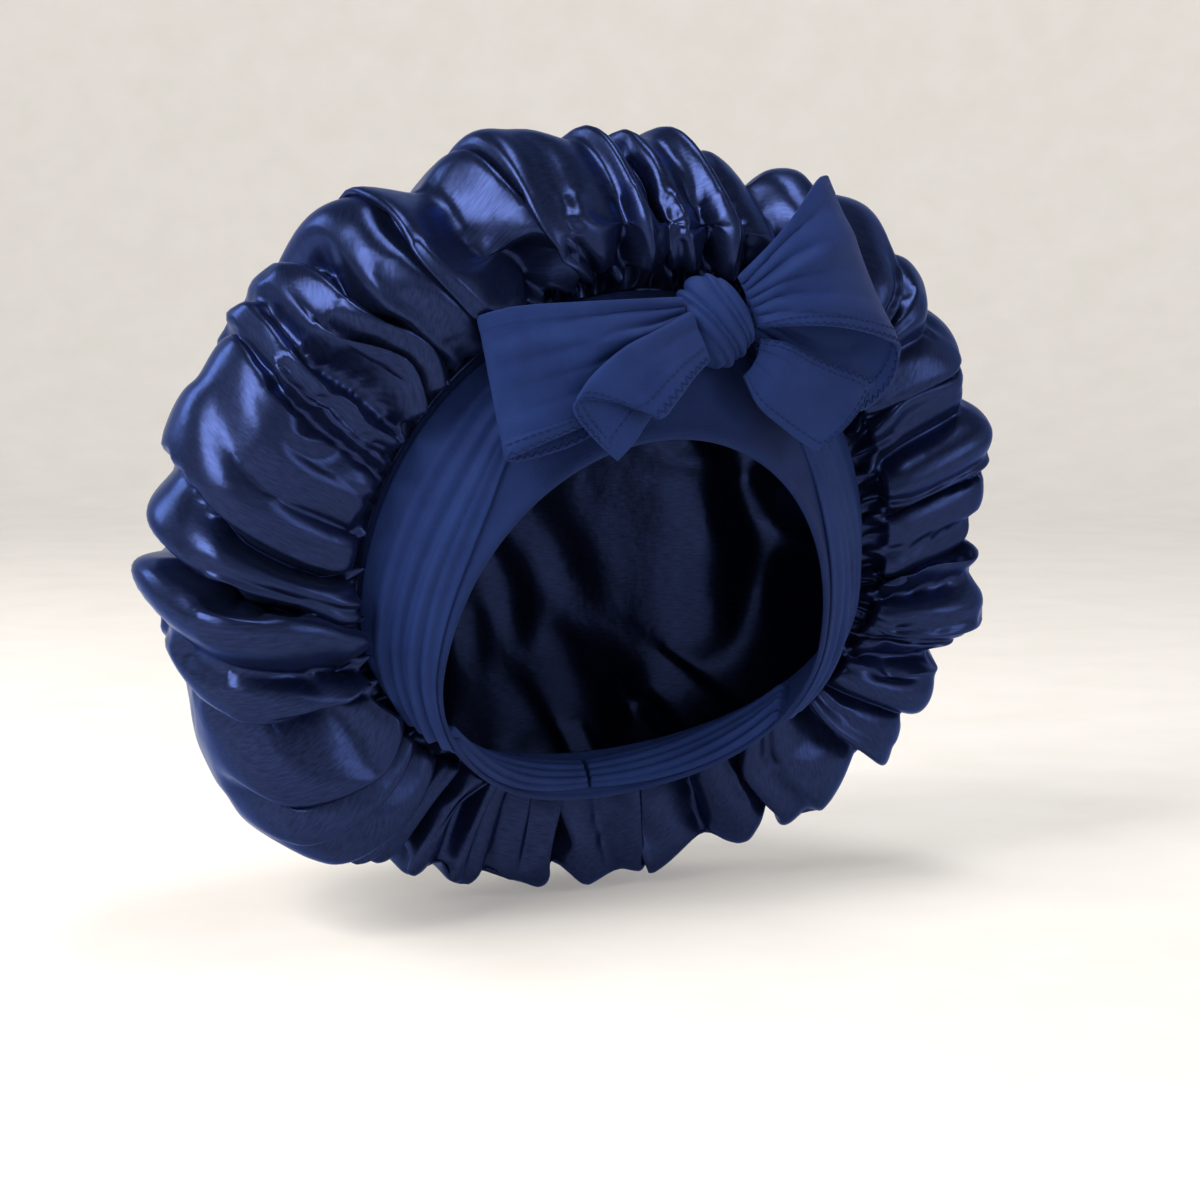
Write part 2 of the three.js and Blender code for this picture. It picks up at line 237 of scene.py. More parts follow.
@dataclass(frozen=True)
class PolyesterSatin(Finish):
    """Woven polyester satin. Its long floats all lie one way, so light spreads in broad soft
    streaks on a deep navy ground, and the valleys between puffs go nearly black."""

    float_width: float = 0.7  # real floats are about 0.15 mm; drawn coarser so that they show
    float_length: float = 4.5
    crease_size: float = 13.0

    def dress(self, tree: bpy.types.NodeTree, shader: bpy.types.Node) -> None:
        """Add the floats' streaks, faint creases, and a change of colour that follows the streaks."""
        uv = add_node(tree, "ShaderNodeUVMap", {"uv_map": "cut"})
        place = add_node(tree, "ShaderNodeTexCoord")
        stretch = (1 / (self.float_width * MM), 1 / (self.float_length * MM), 1.0)
        grain = add_node(tree, "ShaderNodeMapping", {"Scale": stretch}, {"Vector": uv.outputs["UV"]})
        streaks = add_node(
            tree,
            "ShaderNodeTexNoise",
            {"Scale": 1.0, "Detail": 2.0, "Roughness": 0.6},
            {"Vector": grain.outputs["Vector"]},
        )
        creases = self.mottle(tree, place.outputs["Object"], self.crease_size)
        soft = self.bump(tree, creases.outputs["Fac"], 0.35, 0.9)
        fine = self.bump(tree, streaks.outputs["Fac"], 0.22, 0.06, over=soft)
        tangent = add_node(tree, "ShaderNodeTangent", {"direction_type": "UV_MAP", "uv_map": "cut"})
        self.shade(tree, shader, streaks.outputs["Fac"])
        tree.links.new(fine.outputs["Normal"], shader.inputs["Normal"])
        tree.links.new(tangent.outputs["Tangent"], shader.inputs["Tangent"])
        values = {
            "Metallic": 0.8,
            "Anisotropic": 0.45,
            "Specular IOR Level": 0.5,
            "Specular Tint": "#a3b6f0",
            "Sheen Weight": 0.05,
            "Sheen Roughness": 0.4,
            "Sheen Tint": "#6f8ad0",
        }
        set_inputs(shader, values)


@dataclass(frozen=True)
class WovenCotton(Finish):
    """Plain-woven cotton. Crossed threads break up the light, so it is matte, with a soft bloom
    of loose fibre where it turns away."""

    thread_spacing: float = 0.85  # real threads are about 0.35 mm apart; drawn coarser to show
    relief: float = 0.10
    bloom: float = 0.12

    def dress(self, tree: bpy.types.NodeTree, shader: bpy.types.Node) -> None:
        """Add the weave's relief, uneven dye and the bloom."""
        uv = add_node(tree, "ShaderNodeUVMap", {"uv_map": "cut"})
        place = add_node(tree, "ShaderNodeTexCoord")
        warp = self.wave(tree, uv, self.thread_spacing, "X")
        weft = self.wave(tree, uv, self.thread_spacing, "Y")
        weave = add_node(
            tree,
            "ShaderNodeMath",
            {"operation": "MULTIPLY"},
            {0: warp.outputs["Fac"], 1: weft.outputs["Fac"]},
        )
        fibre = self.mottle(tree, place.outputs["Object"], 2.2)
        dye = self.mottle(tree, place.outputs["Object"], 16.0)
        uneven = add_node(
            tree,
            "ShaderNodeMath",
            {"operation": "MULTIPLY_ADD", 1: 0.35},
            {0: weave.outputs["Value"], 2: dye.outputs["Fac"]},
        )
        rumple = self.bump(tree, fibre.outputs["Fac"], 0.3, 0.35)
        threads = self.bump(tree, weave.outputs["Value"], 0.55, self.relief, over=rumple)
        self.shade(tree, shader, uneven.outputs["Value"])
        tree.links.new(threads.outputs["Normal"], shader.inputs["Normal"])
        values = {
            "Specular IOR Level": 0.3,
            "Specular Tint": "#8094cc",
            "Sheen Weight": self.bloom,
            "Sheen Roughness": 0.45,
            "Sheen Tint": "#5f7ac8",
        }
        set_inputs(shader, values)


@dataclass(frozen=True)
class CottonJersey(WovenCotton):
    """Knitted cotton jersey. Fine upright wales, closer than the weave, give a smooth dull face."""

    thread_spacing: float = 1.1  # real wales are about 0.7 mm apart; drawn coarser to show
    relief: float = 0.07
    bloom: float = 0.10


@dataclass(frozen=True)
class PolyesterThread(Finish):
    """Spun polyester sewing thread, a little brighter than the cloth, with a visible twist."""

    twist: float = 0.5

    def dress(self, tree: bpy.types.NodeTree, shader: bpy.types.Node) -> None:
        """Add the twist of the plies."""
        place = add_node(tree, "ShaderNodeTexCoord")
        twist = self.mottle(tree, place.outputs["Object"], self.twist)
        plies = self.bump(tree, twist.outputs["Fac"], 0.4, 0.05)
        self.shade(tree, shader, twist.outputs["Fac"])
        tree.links.new(plies.outputs["Normal"], shader.inputs["Normal"])
        set_inputs(shader, {"Specular IOR Level": 0.3, "Specular Tint": "#7d93d4"})


@dataclass(frozen=True)
class MattePaint(Finish):
    """Matte wall paint with a faint roller texture, for the studio's sweep."""

    def dress(self, tree: bpy.types.NodeTree, shader: bpy.types.Node) -> None:
        """Add the roller's slow unevenness."""
        place = add_node(tree, "ShaderNodeTexCoord")
        roller = self.mottle(tree, place.outputs["Object"], 60.0)
        self.shade(tree, shader, roller.outputs["Fac"])
        values = {
            "Emission Color": "#f6f4f1",
            "Emission Strength": 0.26,  # a sweep lit from behind
        }
        set_inputs(shader, values)


CROWN_SATIN = PolyesterSatin("woven_polyester_satin", "#18213f", "#242f55", roughness=0.29)
BAND_JERSEY = CottonJersey("knitted_cotton_jersey", "#131e44", "#17254f", roughness=0.74)
TIE_COTTON = WovenCotton("plain_woven_cotton", "#15234f", "#1b2c5c", roughness=0.66)
HEM_THREAD = PolyesterThread("spun_polyester_thread", "#111b3f", "#18254f", roughness=0.7)
SWEEP_PAINT = MattePaint("matte_wall_paint", "#cbc8c3", "#d1cecb", roughness=0.9)


# ---------------------------------------------------------------- mesh making


def mesh_object(name: str, points: Array, faces: list, corners: list | None = None) -> bpy.types.Object:
    """Make a smooth-shaded mesh object.

    Args:
        name: The object's name.
        points: Vertex positions in millimetres.
        faces: Vertex numbers of each face.
        corners: A flat-cloth position in millimetres for each corner of each face.

    Returns:
        The object, linked to the scene.
    """
    mesh = bpy.data.meshes.new(name)
    mesh.from_pydata((np.asarray(points) * MM).tolist(), [], faces)
    if corners is not None:
        layer = mesh.uv_layers.new(name="cut")
        flat = np.asarray([c for face in corners for c in face], dtype=float) * MM
        layer.data.foreach_set("uv", flat.ravel())
    mesh.polygons.foreach_set("use_smooth", [True] * len(mesh.polygons))
    mesh.update()
    made = bpy.data.objects.new(name, mesh)
    bpy.context.scene.collection.objects.link(made)
    return made


def join_parts(parts: list) -> tuple[Array, list]:
    """Join parts, each given as its points and its faces, into one set of each."""
    points, faces, base = [], [], 0
    for own_points, own_faces in parts:
        faces += [[v + base for v in face] for face in own_faces]
        points.append(own_points)
        base += len(own_points)
    return np.vstack(points), faces


def face_outward(piece: bpy.types.Object) -> None:
    """Turn every face of a closed mesh to look out of it."""
    work = bmesh.new()
    work.from_mesh(piece.data)
    bmesh.ops.recalc_face_normals(work, faces=work.faces)
    work.to_mesh(piece.data)
    work.free()


def smooth_once(piece: bpy.types.Object) -> None:
    """Round a mesh with one level of subdivision."""
    rounding = piece.modifiers.new("rounding", "SUBSURF")
    rounding.levels = 1
    rounding.render_levels = 1


def wall_object(name: str, outer: Array, inner: Array, flat: Array, wraps: bool) -> bpy.types.Object:
    """Make a closed wall of cloth between two matching grids of points.

    Args:
        name: The object's name.
        outer: Points of the outer face, [row, column, xyz].
        inner: Points of the inner face, the same shape.
        flat: Where each point lies on the cut cloth; a wall that wraps has one column more.
        wraps: Whether the last column joins the first.

    Returns:
        The wall, as an object.
    """
    rows, columns = outer.shape[:2]
    steps = columns if wraps else columns - 1
    faces: list = []
    corners: list = []

    def add(cells: list) -> None:
        faces.append([s * rows * columns + r * columns + c % columns for s, r, c in cells])
        corners.append([flat[r, c] for _, r, c in cells])

    for r in range(rows - 1):
        for c in range(steps):
            add([(0, r, c), (0, r + 1, c), (0, r + 1, c + 1), (0, r, c + 1)])
            add([(1, r, c), (1, r, c + 1), (1, r + 1, c + 1), (1, r + 1, c)])
    for c in range(steps):
        for r in (0, rows - 1):
            add([(0, r, c), (0, r, c + 1), (1, r, c + 1), (1, r, c)])
    if not wraps:
        for r in range(rows - 1):
            for c in (0, columns - 1):
                add([(0, r, c), (1, r, c), (1, r + 1, c), (0, r + 1, c)])
    points = np.concatenate([outer.reshape(-1, 3), inner.reshape(-1, 3)])
    made = mesh_object(name, points, faces, corners)
    face_outward(made)
    return made


# ---------------------------------------------------------------- the bonnet's rings


@dataclass(frozen=True)
class Ring:
    """An oval round the head opening. Its centre lies `back` and `up` from the origin, it leans
    forward by `tilt` degrees, and `nape` carries its lowest point back, round the neck."""

    reach: float
    back: float
    up: float
    tilt: float
    half: float
    top: float
    bottom: float
    nape: float


FACE_EDGE = Ring(reach=1.0, back=0, up=0, tilt=17.5, half=87, top=95, bottom=64, nape=22)
GATHER_SEAM = Ring(reach=0.0, back=16, up=31, tilt=10, half=117, top=120, bottom=75, nape=22)
CROWN_RINGS = (
    GATHER_SEAM,
    Ring(reach=0.3, back=5, up=33, tilt=10, half=133, top=135, bottom=94, nape=38),
    Ring(reach=0.9, back=4, up=51, tilt=10, half=174, top=133, bottom=150, nape=34),
    Ring(reach=1.5, back=41, up=62, tilt=10, half=185, top=152, bottom=160, nape=12),
    Ring(reach=2.1, back=93, up=60, tilt=8, half=161, top=126, bottom=151, nape=0),
    Ring(reach=2.8, back=130, up=62, tilt=6, half=135, top=108, bottom=122, nape=0),
    Ring(reach=3.5, back=155, up=61, tilt=5, half=77, top=62, bottom=70, nape=0),
    Ring(reach=4.0, back=165, up=61, tilt=5, half=0, top=0, bottom=0, nape=0),
)


def ring_points(columns: Array, angle: Array) -> Array:
    """Find points on oval rings.

    Args:
        columns: The seven sizes of a ring after its reach, on the last axis.
        angle: Radians round from the top, toward the wearer's left.

    Returns:
        The points, in millimetres.
    """
    back, up, tilt, half, top, bottom, nape = np.moveaxis(np.asarray(columns, dtype=float), -1, 0)
    high = np.cos(angle)
    rise = high * np.where(high > 0, top, bottom)
    low = np.clip(-high, 0, None) ** 4
    lean = np.radians(tilt)
    across = half * np.sin(angle)
    return np.stack([across, back - rise * np.sin(lean) + nape * low, up + rise * np.cos(lean)], -1)


def band_points(across: Array, angle: Array) -> Array:
    """Find points on the band's face, from the gather seam (0) to the face edge (1)."""
    seam = ring_points(astuple(GATHER_SEAM)[1:], angle)
    edge = ring_points(astuple(FACE_EDGE)[1:], angle)
    bulge = 3 * np.sin(math.pi * np.clip(across, 0, 1))
    return lerp(seam, edge, across[..., None]) + bulge[..., None] * np.array([0, -0.9, 0.4])


# ---------------------------------------------------------------- the crown


@dataclass(frozen=True)
class Valley:
    """A valley between two big puffs, at `angle` degrees round from the top. It lies `depth`
    inside the rings, and the puff after it stands `puff` outside them."""

    angle: float
    depth: float
    puff: float


@dataclass(frozen=True)
class FoldOrder:
    """One order of gathers: how far they stand up, over what length they rise and fade as they
    leave the seam, how sharp the creases between them are, and how far they lean over."""

    height: float
    rise: float
    fade: float
    sharpness: float
    lean: float
    calm: float  # the share of gathers that hardly show


@dataclass
class SatinCrown:
    """The full satin crown: one disc of cloth gathered onto the band, then left to settle by cloth
    simulation. The big valleys follow a table; the finer gathers between them are random."""

    name: str = "satin_crown"
    seam_columns: int = 560
    seed: int = 3
    frames: int = 18
    pressure: float = 0.1
    shrink: float = 0.09
    back_shrink: float = 0.015
    furthest_move: float = 20.0
    cut_radius: float = 310.0
    valleys: tuple[Valley, ...] = (
        Valley(-61, 5, 1),
        Valley(-48, 12, 6),
        Valley(-25, 3, 0),
        Valley(2, 7, -1),
        Valley(24, 13, 3),
        Valley(44, 5, -1),
        Valley(60, 11, -2),
        Valley(91, 13, 5),
        Valley(115, 3, 5),
        Valley(145, 1, -1),
        Valley(183, 3, -3),
        Valley(208, 7, 9),
        Valley(246, 2, 6),
        Valley(264, 7, -1),
        Valley(292, 4, 3),
    )
    orders: tuple[FoldOrder, ...] = (
        FoldOrder(height=12.0, rise=10, fade=180, sharpness=1.7, lean=1.4, calm=0.25),
        FoldOrder(height=6.0, rise=5, fade=100, sharpness=1.8, lean=1.0, calm=0.3),
        FoldOrder(height=3.2, rise=2.2, fade=24, sharpness=1.6, lean=0.3, calm=0.3),
    )
    keys: Array = field(init=False)
    rows: Array = field(init=False)
    reach_at: Array = field(init=False)  # the reach at each measured place from seam to centre
    run: Array = field(init=False)  # the distance from the seam there
    girth: Array = field(init=False)  # the distance round the crown there

    def __post_init__(self) -> None:
        """Set out the rings as arrays and measure the crown from seam to centre."""
        self.keys = np.array([ring.reach for ring in CROWN_RINGS])
        self.rows = np.array([astuple(ring)[1:] for ring in CROWN_RINGS], dtype=float)
        places = np.linspace(0, CROWN_RINGS[-1].reach, 401)
        turns = np.linspace(0, FULL_TURN, 49)[:-1]
        reach, angle = np.meshgrid(places, turns, indexing="ij")
        grid = self.surface(reach, angle)
        steps = np.linalg.norm(np.diff(grid, axis=0), axis=2).mean(axis=1)
        self.reach_at = reach[:, 0]
        self.run = np.concatenate([[0.0], np.cumsum(steps)])
        self.girth = np.linalg.norm(np.diff(grid, axis=1), axis=2).sum(axis=1) * 49 / 48

    def surface(self, reach: Array, angle: Array) -> Array:
        """Find points on the crown before it is gathered."""
        return ring_points(smooth_table(self.keys, self.rows, reach), angle)

    def cells(self) -> list:
        """Divide the seam into big puffs, and those into smaller gathers, order by order."""
        chance = np.random.default_rng(self.seed)
        starts = [valley.angle for valley in self.valleys]
        found = [list(zip(starts, starts[1:] + [starts[0] + 360]))]
        for order in range(len(self.orders)):
            smaller = []
            for low, high in found[-1]:
                parts = 3 if order == 0 and high - low > 23 else 2
                cuts = np.cumsum(chance.uniform(0.6, 1.4, parts))
                edges = low + (high - low) * np.concatenate([[0], cuts / cuts[-1]])
                smaller += list(zip(edges[:-1], edges[1:]))
            found.append(smaller)
        return found

    def within(self, cells: list, degrees: Array) -> tuple[Array, Array, Array]:
        """Find each angle's cell, its place across the cell, and the cell's width."""
        low = np.array([cell[0] for cell in cells])
        width = np.array([cell[1] - cell[0] for cell in cells])
        turned = (degrees - low[0]) % 360 + low[0]
        i = np.clip(np.searchsorted(low, turned, side="right") - 1, 0, len(low) - 1)
        return i, (turned - low[i]) / width[i], width[i]

    def big_puffs(self, cells: list, degrees: Array, run: float) -> Array:
        """Measure how far the big puffs and valleys stand from the rings."""
        i, t, _ = self.within(cells, degrees)
        depth = np.array([valley.depth for valley in self.valleys])
        puff = np.array([valley.puff for valley in self.valleys])
        rounded = 0.5 - 0.5 * np.cos(FULL_TURN * t)
        crest = lerp(np.sin(math.pi * t) ** 0.8, rounded, 0.6 * self.softened(run))
        return puff[i] * crest - lerp(depth[i], np.roll(depth, -1)[i], t) * (1 - crest)

    def gathers(self, order: FoldOrder, cells: list, degrees: Array, run: float) -> tuple[Array, Array]:
        """Shape one order of gathers at a distance from the seam.

        Args:
            order: The order's sizes.
            cells: Where each gather starts and ends, in degrees.
            degrees: The angles to shape.
            run: The distance from the seam.

        Returns:
            How far each point stands up, and how far it leans sideways.
        """
        i, t, width = self.within(cells, degrees)
        chance = np.random.default_rng(self.seed + len(cells))
        count = len(cells)
        size = chance.uniform(0.6, 1.35, count)
        size = np.where(chance.uniform(size=count) < order.calm, 0.2 * size, size)[i]
        fade = chance.uniform(0.45, 1.6, count)[i] * order.fade
        crest = chance.uniform(0.32, 0.68, count)[i]
        lean = chance.uniform(-1, 1, count)[i] * order.lean
        even = np.where(t < crest, 0.5 * t / crest, 0.5 + 0.5 * (t - crest) / (1 - crest))
        creased = 1 - np.abs(2 * even - 1) ** order.sharpness
        puff = lerp(creased, 0.5 - 0.5 * np.cos(FULL_TURN * even), self.softened(run))
        grown = smoothstep(run, 0, order.rise)
        left = 1 - smoothstep(run / fade, 0.3, 1)
        reach = order.height * size * grown * left * (width / width.mean()) ** 0.6
        inward = 0.5 + 0.2 * float(smoothstep(run, 8, 50))
        sway = float(smoothstep(run, 0, 30))
        return (puff - inward) * reach, puff * lean * reach * sway

    def softened(self, run: float) -> float:
        """Say how far the creases have opened into round valleys at a distance from the seam."""
        return 0.85 * float(smoothstep(run, 25, 100))

    def drift(self, degrees: Array, run: float) -> Array:
        """Swing the folds sideways in slow curves as they leave the seam."""
        chance = np.random.default_rng(self.seed + 1)
        swing = np.zeros_like(degrees)
        for k, waves in enumerate((2, 3, 5, 7, 11, 13)):
            phase, size = chance.uniform(0, FULL_TURN), chance.uniform(0.5, 1)
            bend = run / (60.0 + 12 * k)
            swing += size / math.sqrt(waves) * np.sin(waves * np.radians(degrees) + phase + bend)
        return 6.0 * swing * smoothstep(run, 0, 90)

    def hold(self, cells: list, degrees: Array, run: float) -> Array:
        """Say how firmly the simulation holds each point: the seam fully, valleys in part."""
        _, t, width = self.within(cells, degrees)
        near = np.exp(-((np.minimum(t, 1 - t) * width / 2.2) ** 2))
        fades = smoothstep(run, 0, 30) * (1 - smoothstep(run, 95, 190))
        firm = 0.02 + 0.45 * near * fades
        firm = np.maximum(firm, np.interp(run, [0, 2, 6], [1, 0.6, 0]))
        return np.maximum(firm, np.interp(run, [150, 230, self.run[-1]], [0, 0.2, 0.4]))

    def ring_spacing(self, run: float) -> float:
        """Give the space between rings at a distance from the seam: the gathers need more rings."""
        return float(np.interp(run, [0, 30, 110, 200], [2.2, 3.0, 4.2, 5.0]))

    def stations(self) -> tuple[list, list]:
        """Lay rings of points from the seam to the centre, halving their number as it narrows."""
        runs = [0.0]
        end = self.run[-1] - 6
        while True:
            step = self.ring_spacing(runs[-1])
            if runs[-1] + step >= end:
                break
            runs.append(runs[-1] + step)
        counts = []
        count = self.seam_columns
        for run in runs:
            step = self.ring_spacing(run)
            girth = 1.15 * float(np.interp(run, self.run, self.girth))
            while count > 60 and run > 60 and girth / count < 0.62 * step:
                count //= 2
            counts.append(count)
        return runs, counts

    def cloth_points(self, runs: list, counts: list) -> tuple[Array, Array, Array]:
        """Place the gathered cloth.

        Args:
            runs: Each ring's distance from the seam.
            counts: The number of points on each ring.

        Returns:
            The points, how firmly each is held, and where each lies on the flat disc.
        """
        cells = self.cells()
        nudge = 1e-3
        points, held, flat = [], [], []
        for run, count in zip(runs, counts):
            degrees = np.linspace(0, 360, count, endpoint=False)
            angle = np.radians(degrees)
            reach = np.full(count, np.interp(run, self.run, self.reach_at))
            base = self.surface(reach, angle)
            around = unit(self.surface(reach, angle + nudge) - self.surface(reach, angle - nudge))
            back = self.surface(reach + nudge, angle) - self.surface(reach - nudge, angle)
            outward = unit(np.cross(around, back))
            inside = self.surface(np.array(3.9), np.array(0.0)) * [0, 0.4, 1]
            outward *= np.sign(((base - inside) * outward).sum(1).mean())
            swung = degrees + self.drift(degrees, run)
            rise = self.big_puffs(cells[0], swung, run)
            rise *= smoothstep(run, 0, 45) * (1 - smoothstep(reach, 1.9, 3.5))
            slide = np.zeros(count)
            for order, own in zip(self.orders, cells[1:]):
                up, aside = self.gathers(order, own, swung, run)
                rise += up
                slide += aside
            points.append(base + outward * rise[:, None] + around * slide[:, None])
            held.append(self.hold(cells[0], swung, run))
            radius = self.cut_radius * (1 - run / self.run[-1])
            flat.append(np.stack([radius * np.cos(angle), radius * np.sin(angle)], -1))
        points.append(self.surface(np.array([4.0]), np.array([0.0])))
        held.append(np.array([0.5]))
        flat.append(np.zeros((1, 2)))
        return np.vstack(points), np.concatenate(held), np.vstack(flat)

    def cloth_faces(self, counts: list) -> list:
        """Join the rings, with triangles where their number of points halves."""
        starts = np.concatenate([[0], np.cumsum(counts)])
        faces = []
        for i in range(len(counts) - 1):
            here, there = int(starts[i]), int(starts[i + 1])
            count, fewer = counts[i], counts[i + 1]
            for c in range(fewer):
                n = (c + 1) % fewer
                if count == fewer:
                    faces.append((here + n, there + n, there + c, here + c))
                    continue
                a, b, d = here + 2 * c, here + 2 * c + 1, here + (2 * c + 2) % count
                faces += [(b, there + c, a), (there + n, there + c, b), (d, there + n, b)]
        last, pole, count = int(starts[-2]), int(starts[-1]), counts[-1]
        faces += [(last + (c + 1) % count, pole, last + c) for c in range(count)]
        return faces

    def fill_out(self, points: Array, held: Array, runs: Array, faces: list) -> Array:
        """Let the cloth fill out under gentle pressure.

        Args:
            points: Where the cloth starts, in millimetres.
            held: How firmly each point is held.
            runs: Each point's distance from the seam; far from it the cloth has little spare.
            faces: The cloth's faces.

        Returns:
            Where the cloth comes to rest.
        """
        scale = 10 * MM  # cloth settles best near one unit across, so it is solved ten times up
        mesh = bpy.data.meshes.new("crown_cloth")
        mesh.from_pydata((points * scale).tolist(), [], faces)
        cloth = bpy.data.objects.new("crown_cloth", mesh)
        scene = bpy.context.scene
        scene.collection.objects.link(cloth)
        group = cloth.vertex_groups.new(name="held")
        levels = np.round(held, 2)
        for level in np.unique(levels):
            group.add(np.nonzero(levels == level)[0].tolist(), float(level), "REPLACE")
        plain = cloth.vertex_groups.new(name="plain")
        calm = np.round(smoothstep(runs, 120, 215), 2)
        for level in np.unique(calm[calm > 0]):
            plain.add(np.nonzero(calm == level)[0].tolist(), float(level), "REPLACE")
        modifier = cloth.modifiers.new("cloth", "CLOTH")
        settings = modifier.settings
        settings.vertex_group_mass = "held"
        settings.shrink_min = -self.shrink
        settings.shrink_max = -self.back_shrink
        settings.vertex_group_shrink = "plain"
        settings.quality = 6
        settings.mass = 0.2
        settings.tension_stiffness = 25
        settings.compression_stiffness = 15
        settings.shear_stiffness = 6
        settings.bending_stiffness = 3.5
        settings.use_pressure = True
        settings.uniform_pressure_force = self.pressure
        settings.effector_weights.gravity = 0.05
        modifier.collision_settings.use_collision = False
        modifier.collision_settings.use_self_collision = False
        modifier.point_cache.frame_start = 1
        modifier.point_cache.frame_end = self.frames
        for step in range(1, self.frames + 1):
            scene.frame_set(step)
        evaluated = cloth.evaluated_get(bpy.context.evaluated_depsgraph_get())
        settled = np.empty(len(points) * 3)
        evaluated.data.vertices.foreach_get("co", settled)
        settled = settled.reshape(-1, 3) / scale
        scene.frame_set(1)
        bpy.data.objects.remove(cloth, do_unlink=True)
        bpy.data.meshes.remove(mesh)
        move = settled - points
        far = np.linalg.norm(move, axis=1, keepdims=True)
        return points + move * np.minimum(1, self.furthest_move / np.maximum(far, 1e-9))

    def build(self) -> bpy.types.Object:
        """Gather, fill out and dress the crown."""
        runs, counts = self.stations()
        points, held, flat = self.cloth_points(runs, counts)
        faces = self.cloth_faces(counts)
        from_seam = np.append(np.repeat(runs, counts), self.run[-1])
        points = self.fill_out(points, held, from_seam, faces)
        crown = mesh_object(self.name, points, faces, [[flat[v] for v in face] for face in faces])
        smooth_once(crown)
        crown.data.materials.append(CROWN_SATIN.material())
        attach(crown, "root")
        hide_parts("crown_front", "crown_rim", "crown_back")
        return crown


# ---------------------------------------------------------------- strips of cloth


@dataclass
class ClothStrip:
    """A strip of cloth with a hem along each long edge. A kind of strip gives its own surface."""

    name: str
    node: str
    finish: Finish
    slot: str
    wall: float
    steps: int
    rows: int
    cut: tuple[float, float]  # estimated width and length of the flat cloth
    held: str
    rests_on: tuple[str, ...]
    wraps: bool = False
    hem: float = 0.0
    hem_lift: float = 0.35

    def surface(self, along: Array, across: Array) -> Array:
        """Find points on the middle of the cloth; each kind of strip has its own shape."""
        raise NotImplementedError

    def normal(self, along: Array, across: Array) -> Array:
        """Find the way the cloth faces."""
        nudge = 2e-3
        low, high = (0.0, 1.0) if not self.wraps else (-math.inf, math.inf)
        a0, a1 = np.clip(along - nudge, low, high), np.clip(along + nudge, low, high)
        c0, c1 = np.clip(across - nudge, 0, 1), np.clip(across + nudge, 0, 1)
        run = self.surface(a1, across) - self.surface(a0, across)
        side = self.surface(along, c1) - self.surface(along, c0)
        return unit(np.cross(run, side))

    def across_rows(self) -> Array:
        """Space the rows across the strip, closer in the hems where the cloth steps down."""
        if not self.hem:
            return np.linspace(0, 1, self.rows + 1)
        width = self.cut[0]
        edge = self.hem * np.array([0, 0.1, 0.3, 0.55, 0.8, 0.95, 1.08, 1.3]) / width
        middle = np.linspace(edge[-1], 1 - edge[-1], self.rows + 1)[1:-1]
        return np.concatenate([edge, middle, 1 - edge[::-1]])

    def thickness(self, across: Array) -> Array:
        """Give the cloth's thickness: more in the hems, and pulled in along their stitches."""
        if not self.hem:
            return np.full_like(across, self.wall)
        inside = np.minimum(across, 1 - across) * self.cut[0]
        folded = 1 - smoothstep(inside, 0.95 * self.hem, 1.1 * self.hem)
        sewn = np.exp(-(((inside - STITCH_INSET * self.hem) / 0.6) ** 2))
        return self.wall + 2 * self.hem_lift * folded - 0.9 * self.hem_lift * sewn

    def build(self) -> bpy.types.Object:
        """Make the strip as a closed wall, dress it and place it in the frame."""
        columns = np.linspace(0, 1, self.steps + 1)
        flat_along, flat_across = np.meshgrid(columns, self.across_rows())
        along = flat_along[:, :-1] if self.wraps else flat_along
        across = flat_across[:, :-1] if self.wraps else flat_across
        middle = self.surface(along, across)
        half = self.normal(along, across) * self.thickness(across)[..., None] / 2
        flat = np.stack([flat_along * self.cut[1], flat_across * self.cut[0]], -1)
        made = wall_object(self.name, middle + half, middle - half, flat, self.wraps)
        smooth_once(made)
        made.data.materials.append(self.finish.material())
        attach(made, "root")
        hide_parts(self.node)
        return made

    def declare(self, made: bpy.types.Object, on_it: list) -> None:
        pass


@dataclass
class EdgeBand(ClothStrip):
    """The wide jersey band round the face opening, from the gather seam to the face edge."""

    pucker: float = 0.55
    roll: float = 1.1

    def surface(self, along: Array, across: Array) -> Array:
        """Find points on the band, puckered at the seam and rolled over at the face edge."""
        angle = math.pi + along * FULL_TURN
        place = 0.01 + 0.99 * across
        points = band_points(place, angle)
        tucks = np.sin(97 * angle) + 0.6 * np.sin(61 * angle + 1.3) + 0.5 * np.sin(143 * angle + 0.4)
        rise = self.pucker * 0.5 * tucks * np.exp(-((across / 0.16) ** 2))
        rise = rise + 0.5 * np.sin(7 * angle + 4 * across) * np.sin(math.pi * across)
        rise = rise + self.roll * np.exp(-(((across - 0.955) / 0.035) ** 2))
        return points + rise[..., None] * np.array([0, -0.92, 0.38])


@dataclass(frozen=True)
class StrapRow:
    """Where a strap lies on the band at an angle from the top: its two edges, as shares of the
    band's width from the seam, and how far it stands off."""

    angle: float
    start: float
    end: float
    lift: float = 0.8


@dataclass(frozen=True)
class StrapFold:
    """A fold along a strap: where its ridge lies and how wide it is, as shares of the strap's
    width, how high it stands, and the phase of its slow wander."""

    centre: float
    width: float
    height: float
    phase: float


